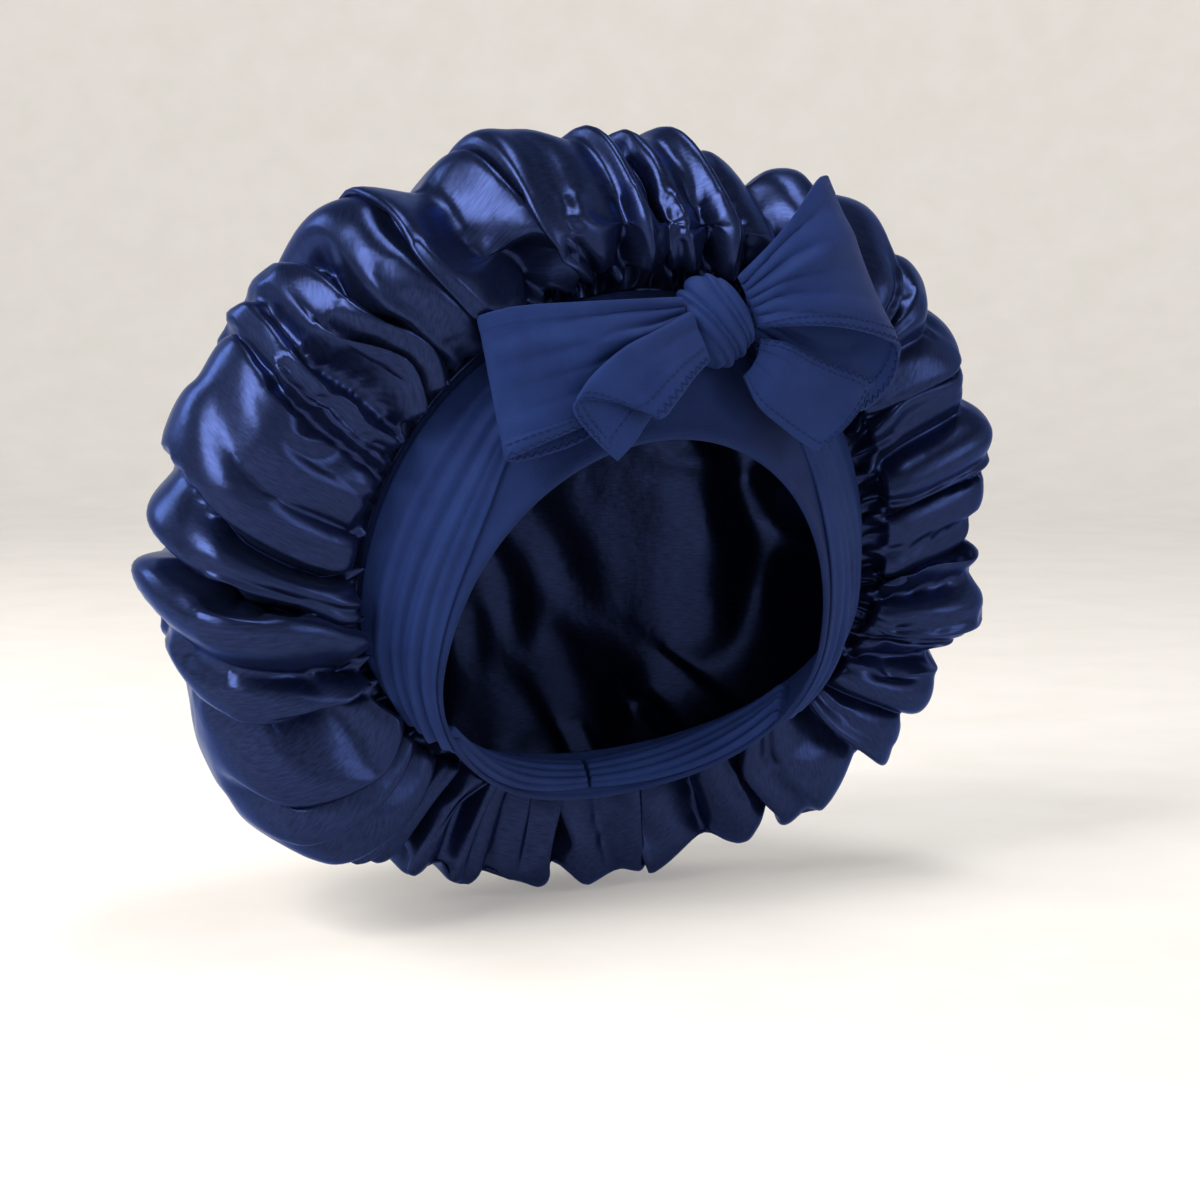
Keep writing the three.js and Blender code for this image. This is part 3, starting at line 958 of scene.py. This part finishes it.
@dataclass
class TieStrap(ClothStrip):
    """A tie strap that lies on the band from the nape and rises to the knot."""

    side: Side = Side.LEFT
    root_angle: float = 0.0
    ridges: tuple[StrapFold, ...] = (
        StrapFold(0.20, 0.09, 2.5, 0.0),
        StrapFold(0.43, 0.09, 2.5, 0.7),
        StrapFold(0.66, 0.09, 3.6, 1.1),
        StrapFold(0.86, 0.06, 2.0, 2.3),
    )
    laid: tuple[StrapRow, ...] = (
        StrapRow(39, 0.07, 0.60),
        StrapRow(54, 0.06, 0.79),
        StrapRow(68, 0.06, 0.88),
        StrapRow(96, 0.07, 0.92),
        StrapRow(120, 0.09, 0.94),
        StrapRow(150, 0.14, 0.90),
        StrapRow(179.6, 0.26, 0.78),
    )

    def surface(self, along: Array, across: Array) -> Array:
        """Find points on the strap, with long folds that calm down toward the nape."""
        root = StrapRow(self.root_angle, 0.20, 0.42, 7.5)
        rising = StrapRow(self.root_angle + 11, 0.14, 0.46, 4)
        laid = (root, rising) + self.laid
        keys = np.array([row.angle for row in laid], dtype=float)
        rows = np.array([(row.start, row.end, row.lift) for row in laid])
        degrees = lerp(keys[0], keys[-1], along)
        start, end, lift = np.moveaxis(smooth_table(keys, rows, degrees), -1, 0)
        place = lerp(start, end, across)
        angle = self.side.value * np.radians(degrees)
        nudge = 1e-3
        run = band_points(place, angle + nudge) - band_points(place, angle - nudge)
        down = band_points(place + nudge, angle) - band_points(place - nudge, angle)
        outward = unit(np.cross(run, down)) * -1
        outward = outward * np.sign(-outward[..., 1:2])
        rise = lift + self.wall / 2 + 0.25 + self.folds(along, across)
        return band_points(place, angle) + outward * rise[..., None]

    def folds(self, along: Array, across: Array) -> Array:
        """Raise the long folds: each ridge has one soft side and one steep side."""
        rise = np.zeros(np.broadcast(along, across).shape)
        strength = 0.35 + 0.65 * smoothstep(along, 0.15, 0.6) + 0.5 * np.exp(-((along / 0.12) ** 2))
        strength = strength * (1 - 0.75 * smoothstep(along, 0.72, 0.95))
        for fold in self.ridges:
            middle = fold.centre + 0.10 * np.sin(5.2 * along + fold.phase) * (1 - along)
            away = (across - middle) / fold.width
            ridge = np.exp(-(away**2)) * (1 + 0.75 * np.tanh(2.5 * away))
            rise = rise + fold.height * ridge * strength
        return rise * smoothstep(across, 0, 0.06) * smoothstep(1 - across, 0, 0.06)


# ---------------------------------------------------------------- the bow


@dataclass(frozen=True)
class BowFrame:
    """The place of the knot's centre; the bow's tables are measured from it."""

    left: float = 18
    ahead: float = 26
    up: float = 136

    def place(self, rows: Array) -> Array:
        """Move [left, ahead, up] rows from the knot's centre into the bonnet's frame."""
        rows = np.asarray(rows, dtype=float)
        moved = (self.left + rows[..., 0], -self.ahead - rows[..., 1], self.up + rows[..., 2])
        return np.stack(moved, -1)


BOW = BowFrame()


class EdgeCurve:
    """A smooth curve through points, with evenly curved bends (centripetal Catmull-Rom)."""

    def __init__(self, points: Array) -> None:
        """Keep the points, with one more beyond each end."""
        points = np.asarray(points, dtype=float)
        self.points = np.vstack([2 * points[0] - points[1], points, 2 * points[-1] - points[-2]])

    def at(self, along: Array) -> Array:
        """Find points at shares of the way from the first point to the last."""
        spans = len(self.points) - 3
        key = np.clip(along, 0, 1) * spans
        i = np.minimum(np.floor(key).astype(int), spans - 1)
        t = (key - i)[..., None]
        a, b, c, d = (self.points[i + k] for k in range(4))
        pairs = ((a, b), (b, c), (c, d))
        ab, bc, cd = (np.sqrt(np.linalg.norm(q - p, axis=-1, keepdims=True)) for p, q in pairs)
        leave = bc * ((b - a) / ab - (c - a) / (ab + bc) + (c - b) / bc)
        arrive = bc * ((c - b) / bc - (d - b) / (bc + cd) + (d - c) / cd)
        square = -3 * b + 3 * c - 2 * leave - arrive
        cube = 2 * b - 2 * c + leave + arrive
        return b + t * (leave + t * (square + t * cube))


@dataclass(frozen=True)
class LoopRow:
    """One section of a loop: its upper and lower edge, and how far its middle is rounded out."""

    upper: tuple[float, float, float]
    lower: tuple[float, float, float]
    belly: float = 0


@dataclass(frozen=True)
class Crease:
    """A long crease in a loop: it starts at `start` across the root and ends at `end` across the
    fold, `width` across, and stands up by `height` (down if negative)."""

    start: float
    end: float
    width: float
    height: float


@dataclass
class BowLoop(ClothStrip):
    """A loop of the bow: one strip that leaves the knot in front, folds over and comes back."""

    sections: tuple[LoopRow, ...] = ()
    fold_at: float = 4 / 7
    pleats: float = 6.0
    pleat_height: float = 2.85
    creases: tuple[Crease, ...] = ()
    ruffle: float = 1.0
    upper: EdgeCurve = field(init=False)
    lower: EdgeCurve = field(init=False)
    bellies: Array = field(init=False)

    def __post_init__(self) -> None:
        """Lay the two edges as smooth curves."""
        self.upper = EdgeCurve(BOW.place([row.upper for row in self.sections]))
        self.lower = EdgeCurve(BOW.place([row.lower for row in self.sections]))
        self.bellies = np.array([row.belly for row in self.sections], dtype=float)

    def surface(self, along: Array, across: Array) -> Array:
        """Find points on the loop, with pleats at the knot and soft creases beyond."""
        along, across = np.broadcast_arrays(along, across)
        points = lerp(self.upper.at(along), self.lower.at(along), across[..., None])
        key = np.clip(along, 0, 1) * (len(self.bellies) - 1)
        belly = np.interp(key, np.arange(len(self.bellies)), self.bellies)
        rise = belly * np.sin(math.pi * np.clip(across, 0, 1))
        in_front = 1 - smoothstep(along, self.fold_at - 0.07, self.fold_at + 0.03)
        return points + (rise + self.folds(along, across, in_front))[..., None] * np.array([0, -1.0, 0])

    def folds(self, along: Array, across: Array, in_front: Array) -> Array:
        """Raise the pleats that leave the knot, the long creases and the wavy lower edge."""
        front_way = np.clip(along / self.fold_at, 0, 1)
        back_way = np.clip((1 - along) / (1 - self.fold_at), 0, 1)
        way = np.where(along < self.fold_at, front_way, back_way)
        near = np.exp(-((way / 0.6) ** 2)) * smoothstep(way, -0.02, 0.06)
        wander = 0.35 * np.sin(2.6 * across + 4 * way)
        pleat = np.abs(np.sin(math.pi * (self.pleats * across + wander))) ** 0.7
        rise = self.pleat_height * (pleat - 0.5) * near
        for crease in self.creases:
            middle = lerp(crease.start, crease.end, front_way)
            spread = crease.width * (0.45 + 0.55 * front_way)
            away = (across - middle) / spread
            ridge = np.exp(-(away**2)) * (1 + 0.6 * np.tanh(2 * away))
            rise = rise + crease.height * ridge * in_front * smoothstep(way, 0, 0.25)
        wavy = np.sin(13 * along + 0.6) + 0.6 * np.sin(29 * along + 2.0)
        edge = np.exp(-(((1 - across) / 0.16) ** 2)) + 0.5 * np.exp(-((across / 0.12) ** 2))
        return rise + 0.6 * self.ruffle * wavy * edge * smoothstep(way, 0.1, 0.5)


@dataclass(frozen=True)
class TailRow:
    """One section of a tail: its free edge, its fold and the edge under it."""

    edge: tuple[float, float, float]
    fold: tuple[float, float, float]
    under: tuple[float, float, float]


@dataclass
class BowTail(ClothStrip):
    """A tail of the bow: one strip, folded along its length, that ends in a hem."""

    sections: tuple[TailRow, ...] = ()
    pull: float = 0.3
    edge: EdgeCurve = field(init=False)
    fold: EdgeCurve = field(init=False)
    under: EdgeCurve = field(init=False)

    def __post_init__(self) -> None:
        """Lay the two edges and the fold as smooth curves."""
        self.edge = EdgeCurve(BOW.place([row.edge for row in self.sections]))
        self.fold = EdgeCurve(BOW.place([row.fold for row in self.sections]))
        self.under = EdgeCurve(BOW.place([row.under for row in self.sections]))

    def surface(self, along: Array, across: Array) -> Array:
        """Find points on the tail, round its lengthwise fold."""
        along, across = np.broadcast_arrays(along, across)
        a, b, c = self.edge.at(along), self.fold.at(along), self.under.at(along)
        middle = (1 + 2 * self.pull) * b - self.pull * (a + c)
        t = np.clip(across, 0, 1)[..., None]
        points = (1 - t) ** 2 * a + 2 * t * (1 - t) * middle + t * t * c
        near = np.exp(-((along / 0.4) ** 2))
        pleat = np.abs(np.sin(math.pi * (3.0 * across + 0.3))) ** 0.7 - 0.5
        wavy = np.sin(9 * along + 7 * across) + 0.6 * np.sin(17 * along - 5 * across + 1)
        rise = 1.3 * pleat * near + 0.45 * wavy * smoothstep(along, 0.2, 0.7)
        return points + rise[..., None] * np.array([0, -0.9, 0.3])


@dataclass(frozen=True)
class KnotPleat:
    """A pleat of the knot: where it starts along the axis, from -1 to 1, and how full it is."""

    start: float
    height: float


@dataclass
class BowKnot:
    """The knot: a strip wrapped tightly round both straps, pulled into pleats."""

    name: str = "knot"
    node: str = "bow_knot"
    half_length: float = 14.5
    radius: float = 20.5
    flatness: float = 0.6
    slope: float = 38.0
    pleat_depth: float = 2.6
    wrapped_width: float = 30.0  # of the flat strip round the knot, for its weave
    pleats: tuple[KnotPleat, ...] = (
        KnotPleat(-1.0, 0.5),
        KnotPleat(-0.66, 1.0),
        KnotPleat(-0.22, 0.75),
        KnotPleat(-0.02, 1.1),
        KnotPleat(0.42, 0.8),
        KnotPleat(0.60, 0.95),
    )
    steps: int = 72
    around: int = 84

    def build(self) -> bpy.types.Object:
        """Make, dress and place the knot."""
        t = np.linspace(-1, 1, self.steps + 1)[:, None]
        angle = np.linspace(0, FULL_TURN, self.around, endpoint=False)[None, :]
        points = self.surface(t, angle)
        faces, corners = [], []
        girth = FULL_TURN * self.radius * 0.8
        for r in range(self.steps):
            for c in range(self.around):
                n = (c + 1) % self.around
                cells = [(r, c), (r + 1, c), (r + 1, n), (r, n)]
                faces.append([row * self.around + column for row, column in cells])
                flat = [(r, c), (r + 1, c), (r + 1, c + 1), (r, c + 1)]
                spots = [(q / self.around * girth, p / self.steps * self.wrapped_width) for p, q in flat]
                corners.append(spots)
        for row in (0, self.steps):
            faces.append([row * self.around + c for c in range(self.around)])
            corners.append([(0, 0)] * self.around)
        made = mesh_object(self.name, points.reshape(-1, 3), faces, corners)
        face_outward(made)
        smooth_once(made)
        made.data.materials.append(TIE_COTTON.material())
        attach(made, "root")
        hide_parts(self.node)
        return made

    def surface(self, t: Array, angle: Array) -> Array:
        """Find points on the knot.

        Args:
            t: The place along its axis, from -1 to 1.
            angle: Radians round it; 0 looks ahead.

        Returns:
            The points, in millimetres.
        """
        t, angle = np.broadcast_arrays(t, angle)
        barrel = np.sqrt(np.maximum(1 - np.abs(t) ** 3.4, 0.0)) * 0.86 + 0.12
        fan = 1 + 0.35 * np.sin(angle + 0.4)
        drifted = np.clip(t * fan + 0.16 * np.sin(angle + 2.0) * (1 - t * t), -1, 1)
        marks = np.array([pleat.start for pleat in self.pleats] + [1.0])
        i = np.clip(np.searchsorted(marks, drifted, side="right") - 1, 0, len(marks) - 2)
        u = (drifted - marks[i]) / (marks[i + 1] - marks[i])
        puff = 1 - np.abs(2 * u**0.7 - 1) ** 2.2
        height = np.array([pleat.height for pleat in self.pleats])[i]
        radius = barrel * self.radius - self.pleat_depth * (1 - puff * height) * (0.35 + 0.65 * barrel)
        pinch = 1 + 0.05 * np.cos(2 * angle) + 0.03 * np.sin(3 * angle + 1)
        lean = math.radians(self.slope)
        axis = np.array([math.cos(lean), 0, math.sin(lean)])
        side = np.array([math.sin(lean), 0, -math.cos(lean)])
        ahead = np.array([0, -self.flatness, 0])
        centre = BOW.place([0, 0, 0])
        spread = (radius * pinch)[..., None]
        run = (t * self.half_length)[..., None]
        around = np.cos(angle)[..., None] * ahead + np.sin(angle)[..., None] * side
        return centre + run * axis + spread * around


# ---------------------------------------------------------------- sewing thread


@dataclass
class StitchLine:
    """A line of sewing thread on a strip of cloth, made as short rounded stitches."""

    strip: ClothStrip
    place: float  # where the line runs, as a share of the strip's width, or length if crosswise
    style: Stitch = Stitch.RUNNING
    crosswise: bool = False
    start: float = 0.03
    end: float = 0.97
    spacing: float = 3.0
    length: float = 2.3
    thread: float = 0.55
    swing: float = 1.3
    both_faces: bool = True

    def path(self) -> tuple[Array, Array]:
        """Step evenly along the line.

        Returns:
            The ends of each stitch on the middle of the cloth, and the way it faces there.
        """
        fine = np.linspace(self.start, self.end, 400)
        line = self.strip.surface(*self.on_cloth(fine, np.full_like(fine, self.place)))
        run = np.concatenate([[0], np.cumsum(np.linalg.norm(np.diff(line, axis=0), axis=1))])
        count = max(int(run[-1] / self.spacing), 1)
        gap = (self.spacing - self.length) / 2
        starts = np.arange(count) * self.spacing
        ends = np.stack([starts + gap, starts + self.spacing - gap], 1)
        way = np.interp(ends, run, fine)
        place = np.full_like(way, self.place)
        if self.style is Stitch.ZIGZAG:
            turn = np.where(np.arange(count) % 2 == 0, 1, -1)[:, None] * np.array([[-1, 1]])
            place = place + turn * self.swing / 2 / self.strip.cut[1 if self.crosswise else 0]
        spot = self.on_cloth(way, place)
        return self.strip.surface(*spot), self.strip.normal(*spot)

    def on_cloth(self, way: Array, place: Array) -> tuple[Array, Array]:
        """Order a place on the line as (along, across) the strip."""
        return (place, way) if self.crosswise else (way, place)

    def meshes(self) -> tuple[Array, list]:
        """Make every stitch of the line as a rounded bar of thread."""
        ends, facing = self.path()
        across = 0.5 if self.crosswise else self.place
        lift = self.strip.thickness(np.array([across]))[0] / 2 + 0.12
        bars = []
        for face in (1, -1) if self.both_faces else (1,):
            on_face = ends + face * facing * lift
            for (first, last), normal in zip(on_face, face * facing.mean(axis=1)):
                bars.append(self.bar(first, last, normal))
        return join_parts(bars)

    def bar(self, first: Array, last: Array, normal: Array) -> tuple[Array, list]:
        """Make one stitch: a six-sided bar that swells in its middle and dips at its ends."""
        sides = 6
        turn = np.linspace(0, FULL_TURN, sides, endpoint=False)
        run = unit(last - first)
        side = unit(np.cross(normal, run))
        up = np.cross(run, side)
        rings = ((0.0, 0.35, -0.25), (0.2, 0.9, 0.0), (0.5, 1.0, 0.08), (0.8, 0.9, 0.0), (1.0, 0.35, -0.25))
        points = []
        for t, swell, lift in rings:
            centre = lerp(first, last, t) + up * lift * self.thread
            radius = swell * self.thread / 2
            points.append(centre + radius * (np.cos(turn)[:, None] * side + np.sin(turn)[:, None] * up))
        faces = []
        for r in range(len(rings) - 1):
            for c in range(sides):
                n = (c + 1) % sides
                faces.append([r * sides + c, r * sides + n, (r + 1) * sides + n, (r + 1) * sides + c])
        faces.append(list(range(sides))[::-1])
        faces.append([(len(rings) - 1) * sides + c for c in range(sides)])
        return np.vstack(points), faces


def sew(name: str, lines: list) -> bpy.types.Object:
    """Join lines of stitches into one piece of thread and dress it."""
    made = mesh_object(name, *join_parts([line.meshes() for line in lines]))
    made.data.materials.append(HEM_THREAD.material())
    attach(made, "root")
    return made


# ---------------------------------------------------------------- the tie: sizes


@dataclass
class Tie:
    """The tie: two straps, the knot, two loops and two tails, with their hems sewn."""

    wall: float = 1.4
    hem: float = 6.5
    sewing_width: float = 58  # the width that the stitches on the loops are set out on

    def cotton(self, kind: type, name: str, node: str, **sizes: object) -> ClothStrip:
        """Set out a strip of the tie's cotton.

        Args:
            kind: The class of strip.
            name: The piece's name.
            node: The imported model's node that it stands for.
            sizes: The rest of the strip's fields.

        Returns:
            The strip, not yet built.
        """
        return kind(name=name, node=node, finish=TIE_COTTON, slot="tie_cotton", wall=self.wall, **sizes)

    def loop_right(self) -> BowLoop:
        """Set out the loop on the wearer's right: broad, nearly flat, folded over at its end."""
        return self.cotton(
            BowLoop,
            "loop_right",
            "bow_loop_right",
            steps=120,
            rows=22,
            cut=(62, 176),
            held="folded",
            rests_on=("edge_band",),
            hem=self.hem,
            sections=(
                LoopRow((-17, 5, 9), (-15.5, 6, -8), 1),
                LoopRow((-34, 8, 9), (-38, 10, -26), 3),
                LoopRow((-61, 9, 8), (-63, 11, -38), 4),
                LoopRow((-92, 5, 6), (-88, 6, -48), 2),
                LoopRow((-103, 0, 3), (-93, 3, -51)),
                LoopRow((-92, -3.5, 4), (-87, 0.5, -52)),
                LoopRow((-58, -3, 5), (-58, 4, -43)),
                LoopRow((-18, -2, 7), (-15.5, 1, -7)),
            ),
            creases=(
                Crease(start=0.35, end=0.22, width=0.10, height=1.3),
                Crease(start=0.55, end=0.62, width=0.16, height=-1.2),
                Crease(start=0.75, end=0.95, width=0.10, height=1.0),
            ),
        )

    def loop_left(self) -> BowLoop:
        """Set out the loop on the wearer's left: it stands up and opens toward the face."""
        return self.cotton(
            BowLoop,
            "loop_left",
            "bow_loop_left",
            steps=120,
            rows=22,
            cut=(62, 129),
            held="folded",
            rests_on=("edge_band",),
            hem=self.hem,
            sections=(
                LoopRow((9, 4, 17), (16, 7, -2), 1),
                LoopRow((19, 12, 31), (26, 16, -1), 3),
                LoopRow((30, 14, 44), (47, 20, -2), 4),
                LoopRow((41, 12, 56), (72, 15, -7), 2),
                LoopRow((47, 8, 57), (82, 10, -11)),
                LoopRow((44, 4, 50), (82, 4, -26)),
                LoopRow((32, 3, 38), (66, 2, -36)),
                LoopRow((14, 0, 15), (18, 0, -5)),
            ),
            creases=(
                Crease(start=0.40, end=0.30, width=0.12, height=1.6),
                Crease(start=0.55, end=0.60, width=0.16, height=-1.0),
                Crease(start=0.80, end=0.86, width=0.09, height=1.0),
            ),
        )

    def tail_right(self) -> BowTail:
        """Set out the tail that comes forward on the wearer's right and curls at its end."""
        return self.cotton(
            BowTail,
            "tail_right",
            "bow_tail_right",
            steps=64,
            rows=24,
            cut=(62, 62),
            held="folded",
            rests_on=("bow_loop_right",),
            hem=self.hem,
            sections=(
                TailRow((-11, 14.5, -15), (-17, 9, 8), (-15.5, 9, -12)),
                TailRow((-21, 20, -21), (-40, 17, 1), (-26, 14, -24)),
                TailRow((-30, 23.5, -29), (-56, 19.5, -4), (-38, 16, -36)),
                TailRow((-37, 23, -36), (-70, 19, -14), (-46, 16, -46)),
                TailRow((-41, 21, -33), (-79, 18, -27), (-52, 15, -52)),
            ),
        )

    def tail_left(self) -> BowTail:
        """Set out the tail under the loop on the wearer's left."""
        return self.cotton(
            BowTail,
            "tail_left",
            "bow_tail_left",
            steps=64,
            rows=22,
            cut=(34, 62),
            held="folded",
            rests_on=("edge_band",),
            hem=4.5,
            sections=(
                TailRow((18, 5, -7), (15.5, 8, -14), (10, 6, -21)),
                TailRow((27, 9, -8), (23, 12, -20), (16, 8, -33)),
                TailRow((42, 10, -14), (38, 12.5, -29), (30, 8, -43)),
                TailRow((60, 10, -20), (53, 12, -36), (39, 7, -49)),
                TailRow((71, 9, -24), (60, 11, -39), (44, 7, -51)),
            ),
        )

    def strap(self, side: Side) -> TieStrap:
        """Set out a strap, from the nape up to the knot."""
        word = side.name.lower()
        length = 275 if side is Side.LEFT else 316
        return self.cotton(
            TieStrap,
            f"strap_{word}",
            f"tie_strap_{word}",
            steps=150,
            rows=30,
            cut=(44, length),
            held="laid",
            rests_on=("edge_band",),
            side=side,
            root_angle=21 if side is Side.LEFT else -0.5,
        )

    def build(self) -> None:
        """Make every piece of the tie and sew its hems."""
        line = STITCH_INSET * self.hem / self.sewing_width
        for side in Side:
            strap = self.strap(side)
            strap.declare(strap.build(), [])
            log.info("strap %s laid on the band", side.name.lower())
        BowKnot().build()
        log.info("knot wrapped")
        right = self.loop_right()
        overlock = {"style": Stitch.ZIGZAG, "spacing": 1.8, "length": 1.8, "thread": 0.5, "swing": 1.9}
        for loop in (right, self.loop_left()):
            lines = [StitchLine(loop, 1 - line), StitchLine(loop, 1 - 0.3 * line, **overlock)]
            loop.declare(loop.build(), [sew(f"thread_{loop.name}", lines)])
        log.info("loops folded and hemmed")
        for tail in (self.tail_right(), self.tail_left()):
            edge = STITCH_INSET * tail.hem / tail.cut[0]
            end = 1 - 5.0 / tail.cut[1]
            lines = [
                StitchLine(tail, edge),
                StitchLine(tail, 0.3 * edge, **overlock),
                StitchLine(tail, 1 - edge),
                StitchLine(tail, end, crosswise=True),
                StitchLine(tail, 1 - 1.4 / tail.cut[1], crosswise=True, **overlock),
            ]
            tail.declare(tail.build(), [sew(f"thread_{tail.name}", lines)])
        log.info("tails folded and hemmed")


# ---------------------------------------------------------------- studio


@dataclass
class Studio:
    """A plain pale sweep, soft lights and the camera. Lengths here are in metres."""

    lens: float = 85.0
    sensor: float = 36.0
    azimuth: float = -30.0
    elevation: float = 6.0
    distance: float = 1.133
    aim: tuple[float, float, float] = (-0.012, 0.010, 0.0254)

    def sweep(self) -> bpy.types.Object:
        """Make the floor, which curves up far behind into a wall all round."""
        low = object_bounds()[0].z - 0.002
        flat, bend, height, sides, bend_steps = 2.2, 0.9, 3.0, 96, 12
        profile = [(0.0, 0.0), (flat * 0.5, 0.0), (flat, 0.0)]
        for k in range(1, bend_steps + 1):
            turn = k / bend_steps * math.pi / 2
            profile.append((flat + bend * math.sin(turn), bend * (1 - math.cos(turn))))
        profile.append((flat + bend, height))
        points = [(0.0, 0.0, low)]
        faces = []
        for radius, rise in profile[1:]:
            for c in range(sides):
                turn = c / sides * FULL_TURN
                points.append((radius * math.sin(turn), radius * math.cos(turn), low + rise))
        for c in range(sides):
            faces.append((0, 1 + c, 1 + (c + 1) % sides))
        for r in range(len(profile) - 2):
            for c in range(sides):
                n = (c + 1) % sides
                a, b = 1 + r * sides, 1 + (r + 1) * sides
                faces.append((a + c, b + c, b + n, a + n))
        made = mesh_object("sweep", np.array(points) / MM, faces)
        made.data.materials.append(SWEEP_PAINT.material())
        made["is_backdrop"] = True
        return made

    def softbox(self, name: str, place: tuple, size: tuple, power: float, tint: str) -> None:
        """Hang a rectangular soft light that looks at the bonnet."""
        light = bpy.data.lights.new(name, "AREA")
        light.shape = "RECTANGLE"
        light.size, light.size_y = size
        light.energy = power
        light.color = linear_colour(tint)[:3]
        hung = bpy.data.objects.new(name, light)
        hung.location = place
        toward = Vector((0, 0.03, 0.06)) - Vector(place)
        hung.rotation_euler = toward.to_track_quat("-Z", "Y").to_euler()
        bpy.context.scene.collection.objects.link(hung)

    def lights(self) -> None:
        """Hang the window light, the fill, the top light and the back light."""
        self.softbox("window_light", (-1.6, -0.4, 1.2), (0.9, 1.4), 50, "#fffaf5")
        self.softbox("fill_light", (1.3, -1.5, 0.6), (0.7, 1.0), 7, "#f2f6ff")
        self.softbox("top_light", (0.2, -0.1, 1.7), (0.9, 0.4), 12, "#ffffff")
        self.softbox("back_light", (-0.9, 1.3, 0.9), (0.5, 0.8), 10, "#fffaf2")
        world = bpy.data.worlds.new("room")
        world.use_nodes = True
        room = world.node_tree.nodes["Background"]
        room.inputs["Color"].default_value = linear_colour("#f3efe9")
        room.inputs["Strength"].default_value = 0.2
        bpy.context.scene.world = world
        bpy.context.scene.view_settings.view_transform = "Standard"

    def camera(self) -> None:
        """Stand the camera in front, a little to the wearer's right."""
        lens = bpy.data.cameras.new("camera")
        lens.lens = self.lens
        lens.sensor_width = self.sensor
        held = bpy.data.objects.new("camera", lens)
        turn, tip = math.radians(self.azimuth), math.radians(self.elevation)
        away = Vector((math.sin(turn) * math.cos(tip), -math.cos(turn) * math.cos(tip), math.sin(tip)))
        held.location = Vector(self.aim) + away * self.distance
        held.rotation_euler = (-away).to_track_quat("-Z", "Y").to_euler()
        bpy.context.scene.collection.objects.link(held)
        bpy.context.scene.camera = held


def main() -> None:
    """Build the bonnet, then the studio round it."""
    logging.basicConfig(level=logging.INFO, format="%(name)s: %(message)s")
    crown = SatinCrown().build()
    log.info("crown gathered: %d faces", len(crown.data.polygons))
    band = EdgeBand(
        name="band",
        node="edge_band",
        finish=BAND_JERSEY,
        slot="band_cotton",
        wall=1.9,
        steps=360,
        rows=20,
        cut=(44, 580),
        held="stretched",
        rests_on=(),
        wraps=True,
    )
    band.declare(band.build(), [])
    log.info("band laid round the face opening")
    Tie().build()
    studio = Studio()
    studio.sweep()
    studio.lights()
    studio.camera()


if __name__ == "__main__":
    main()
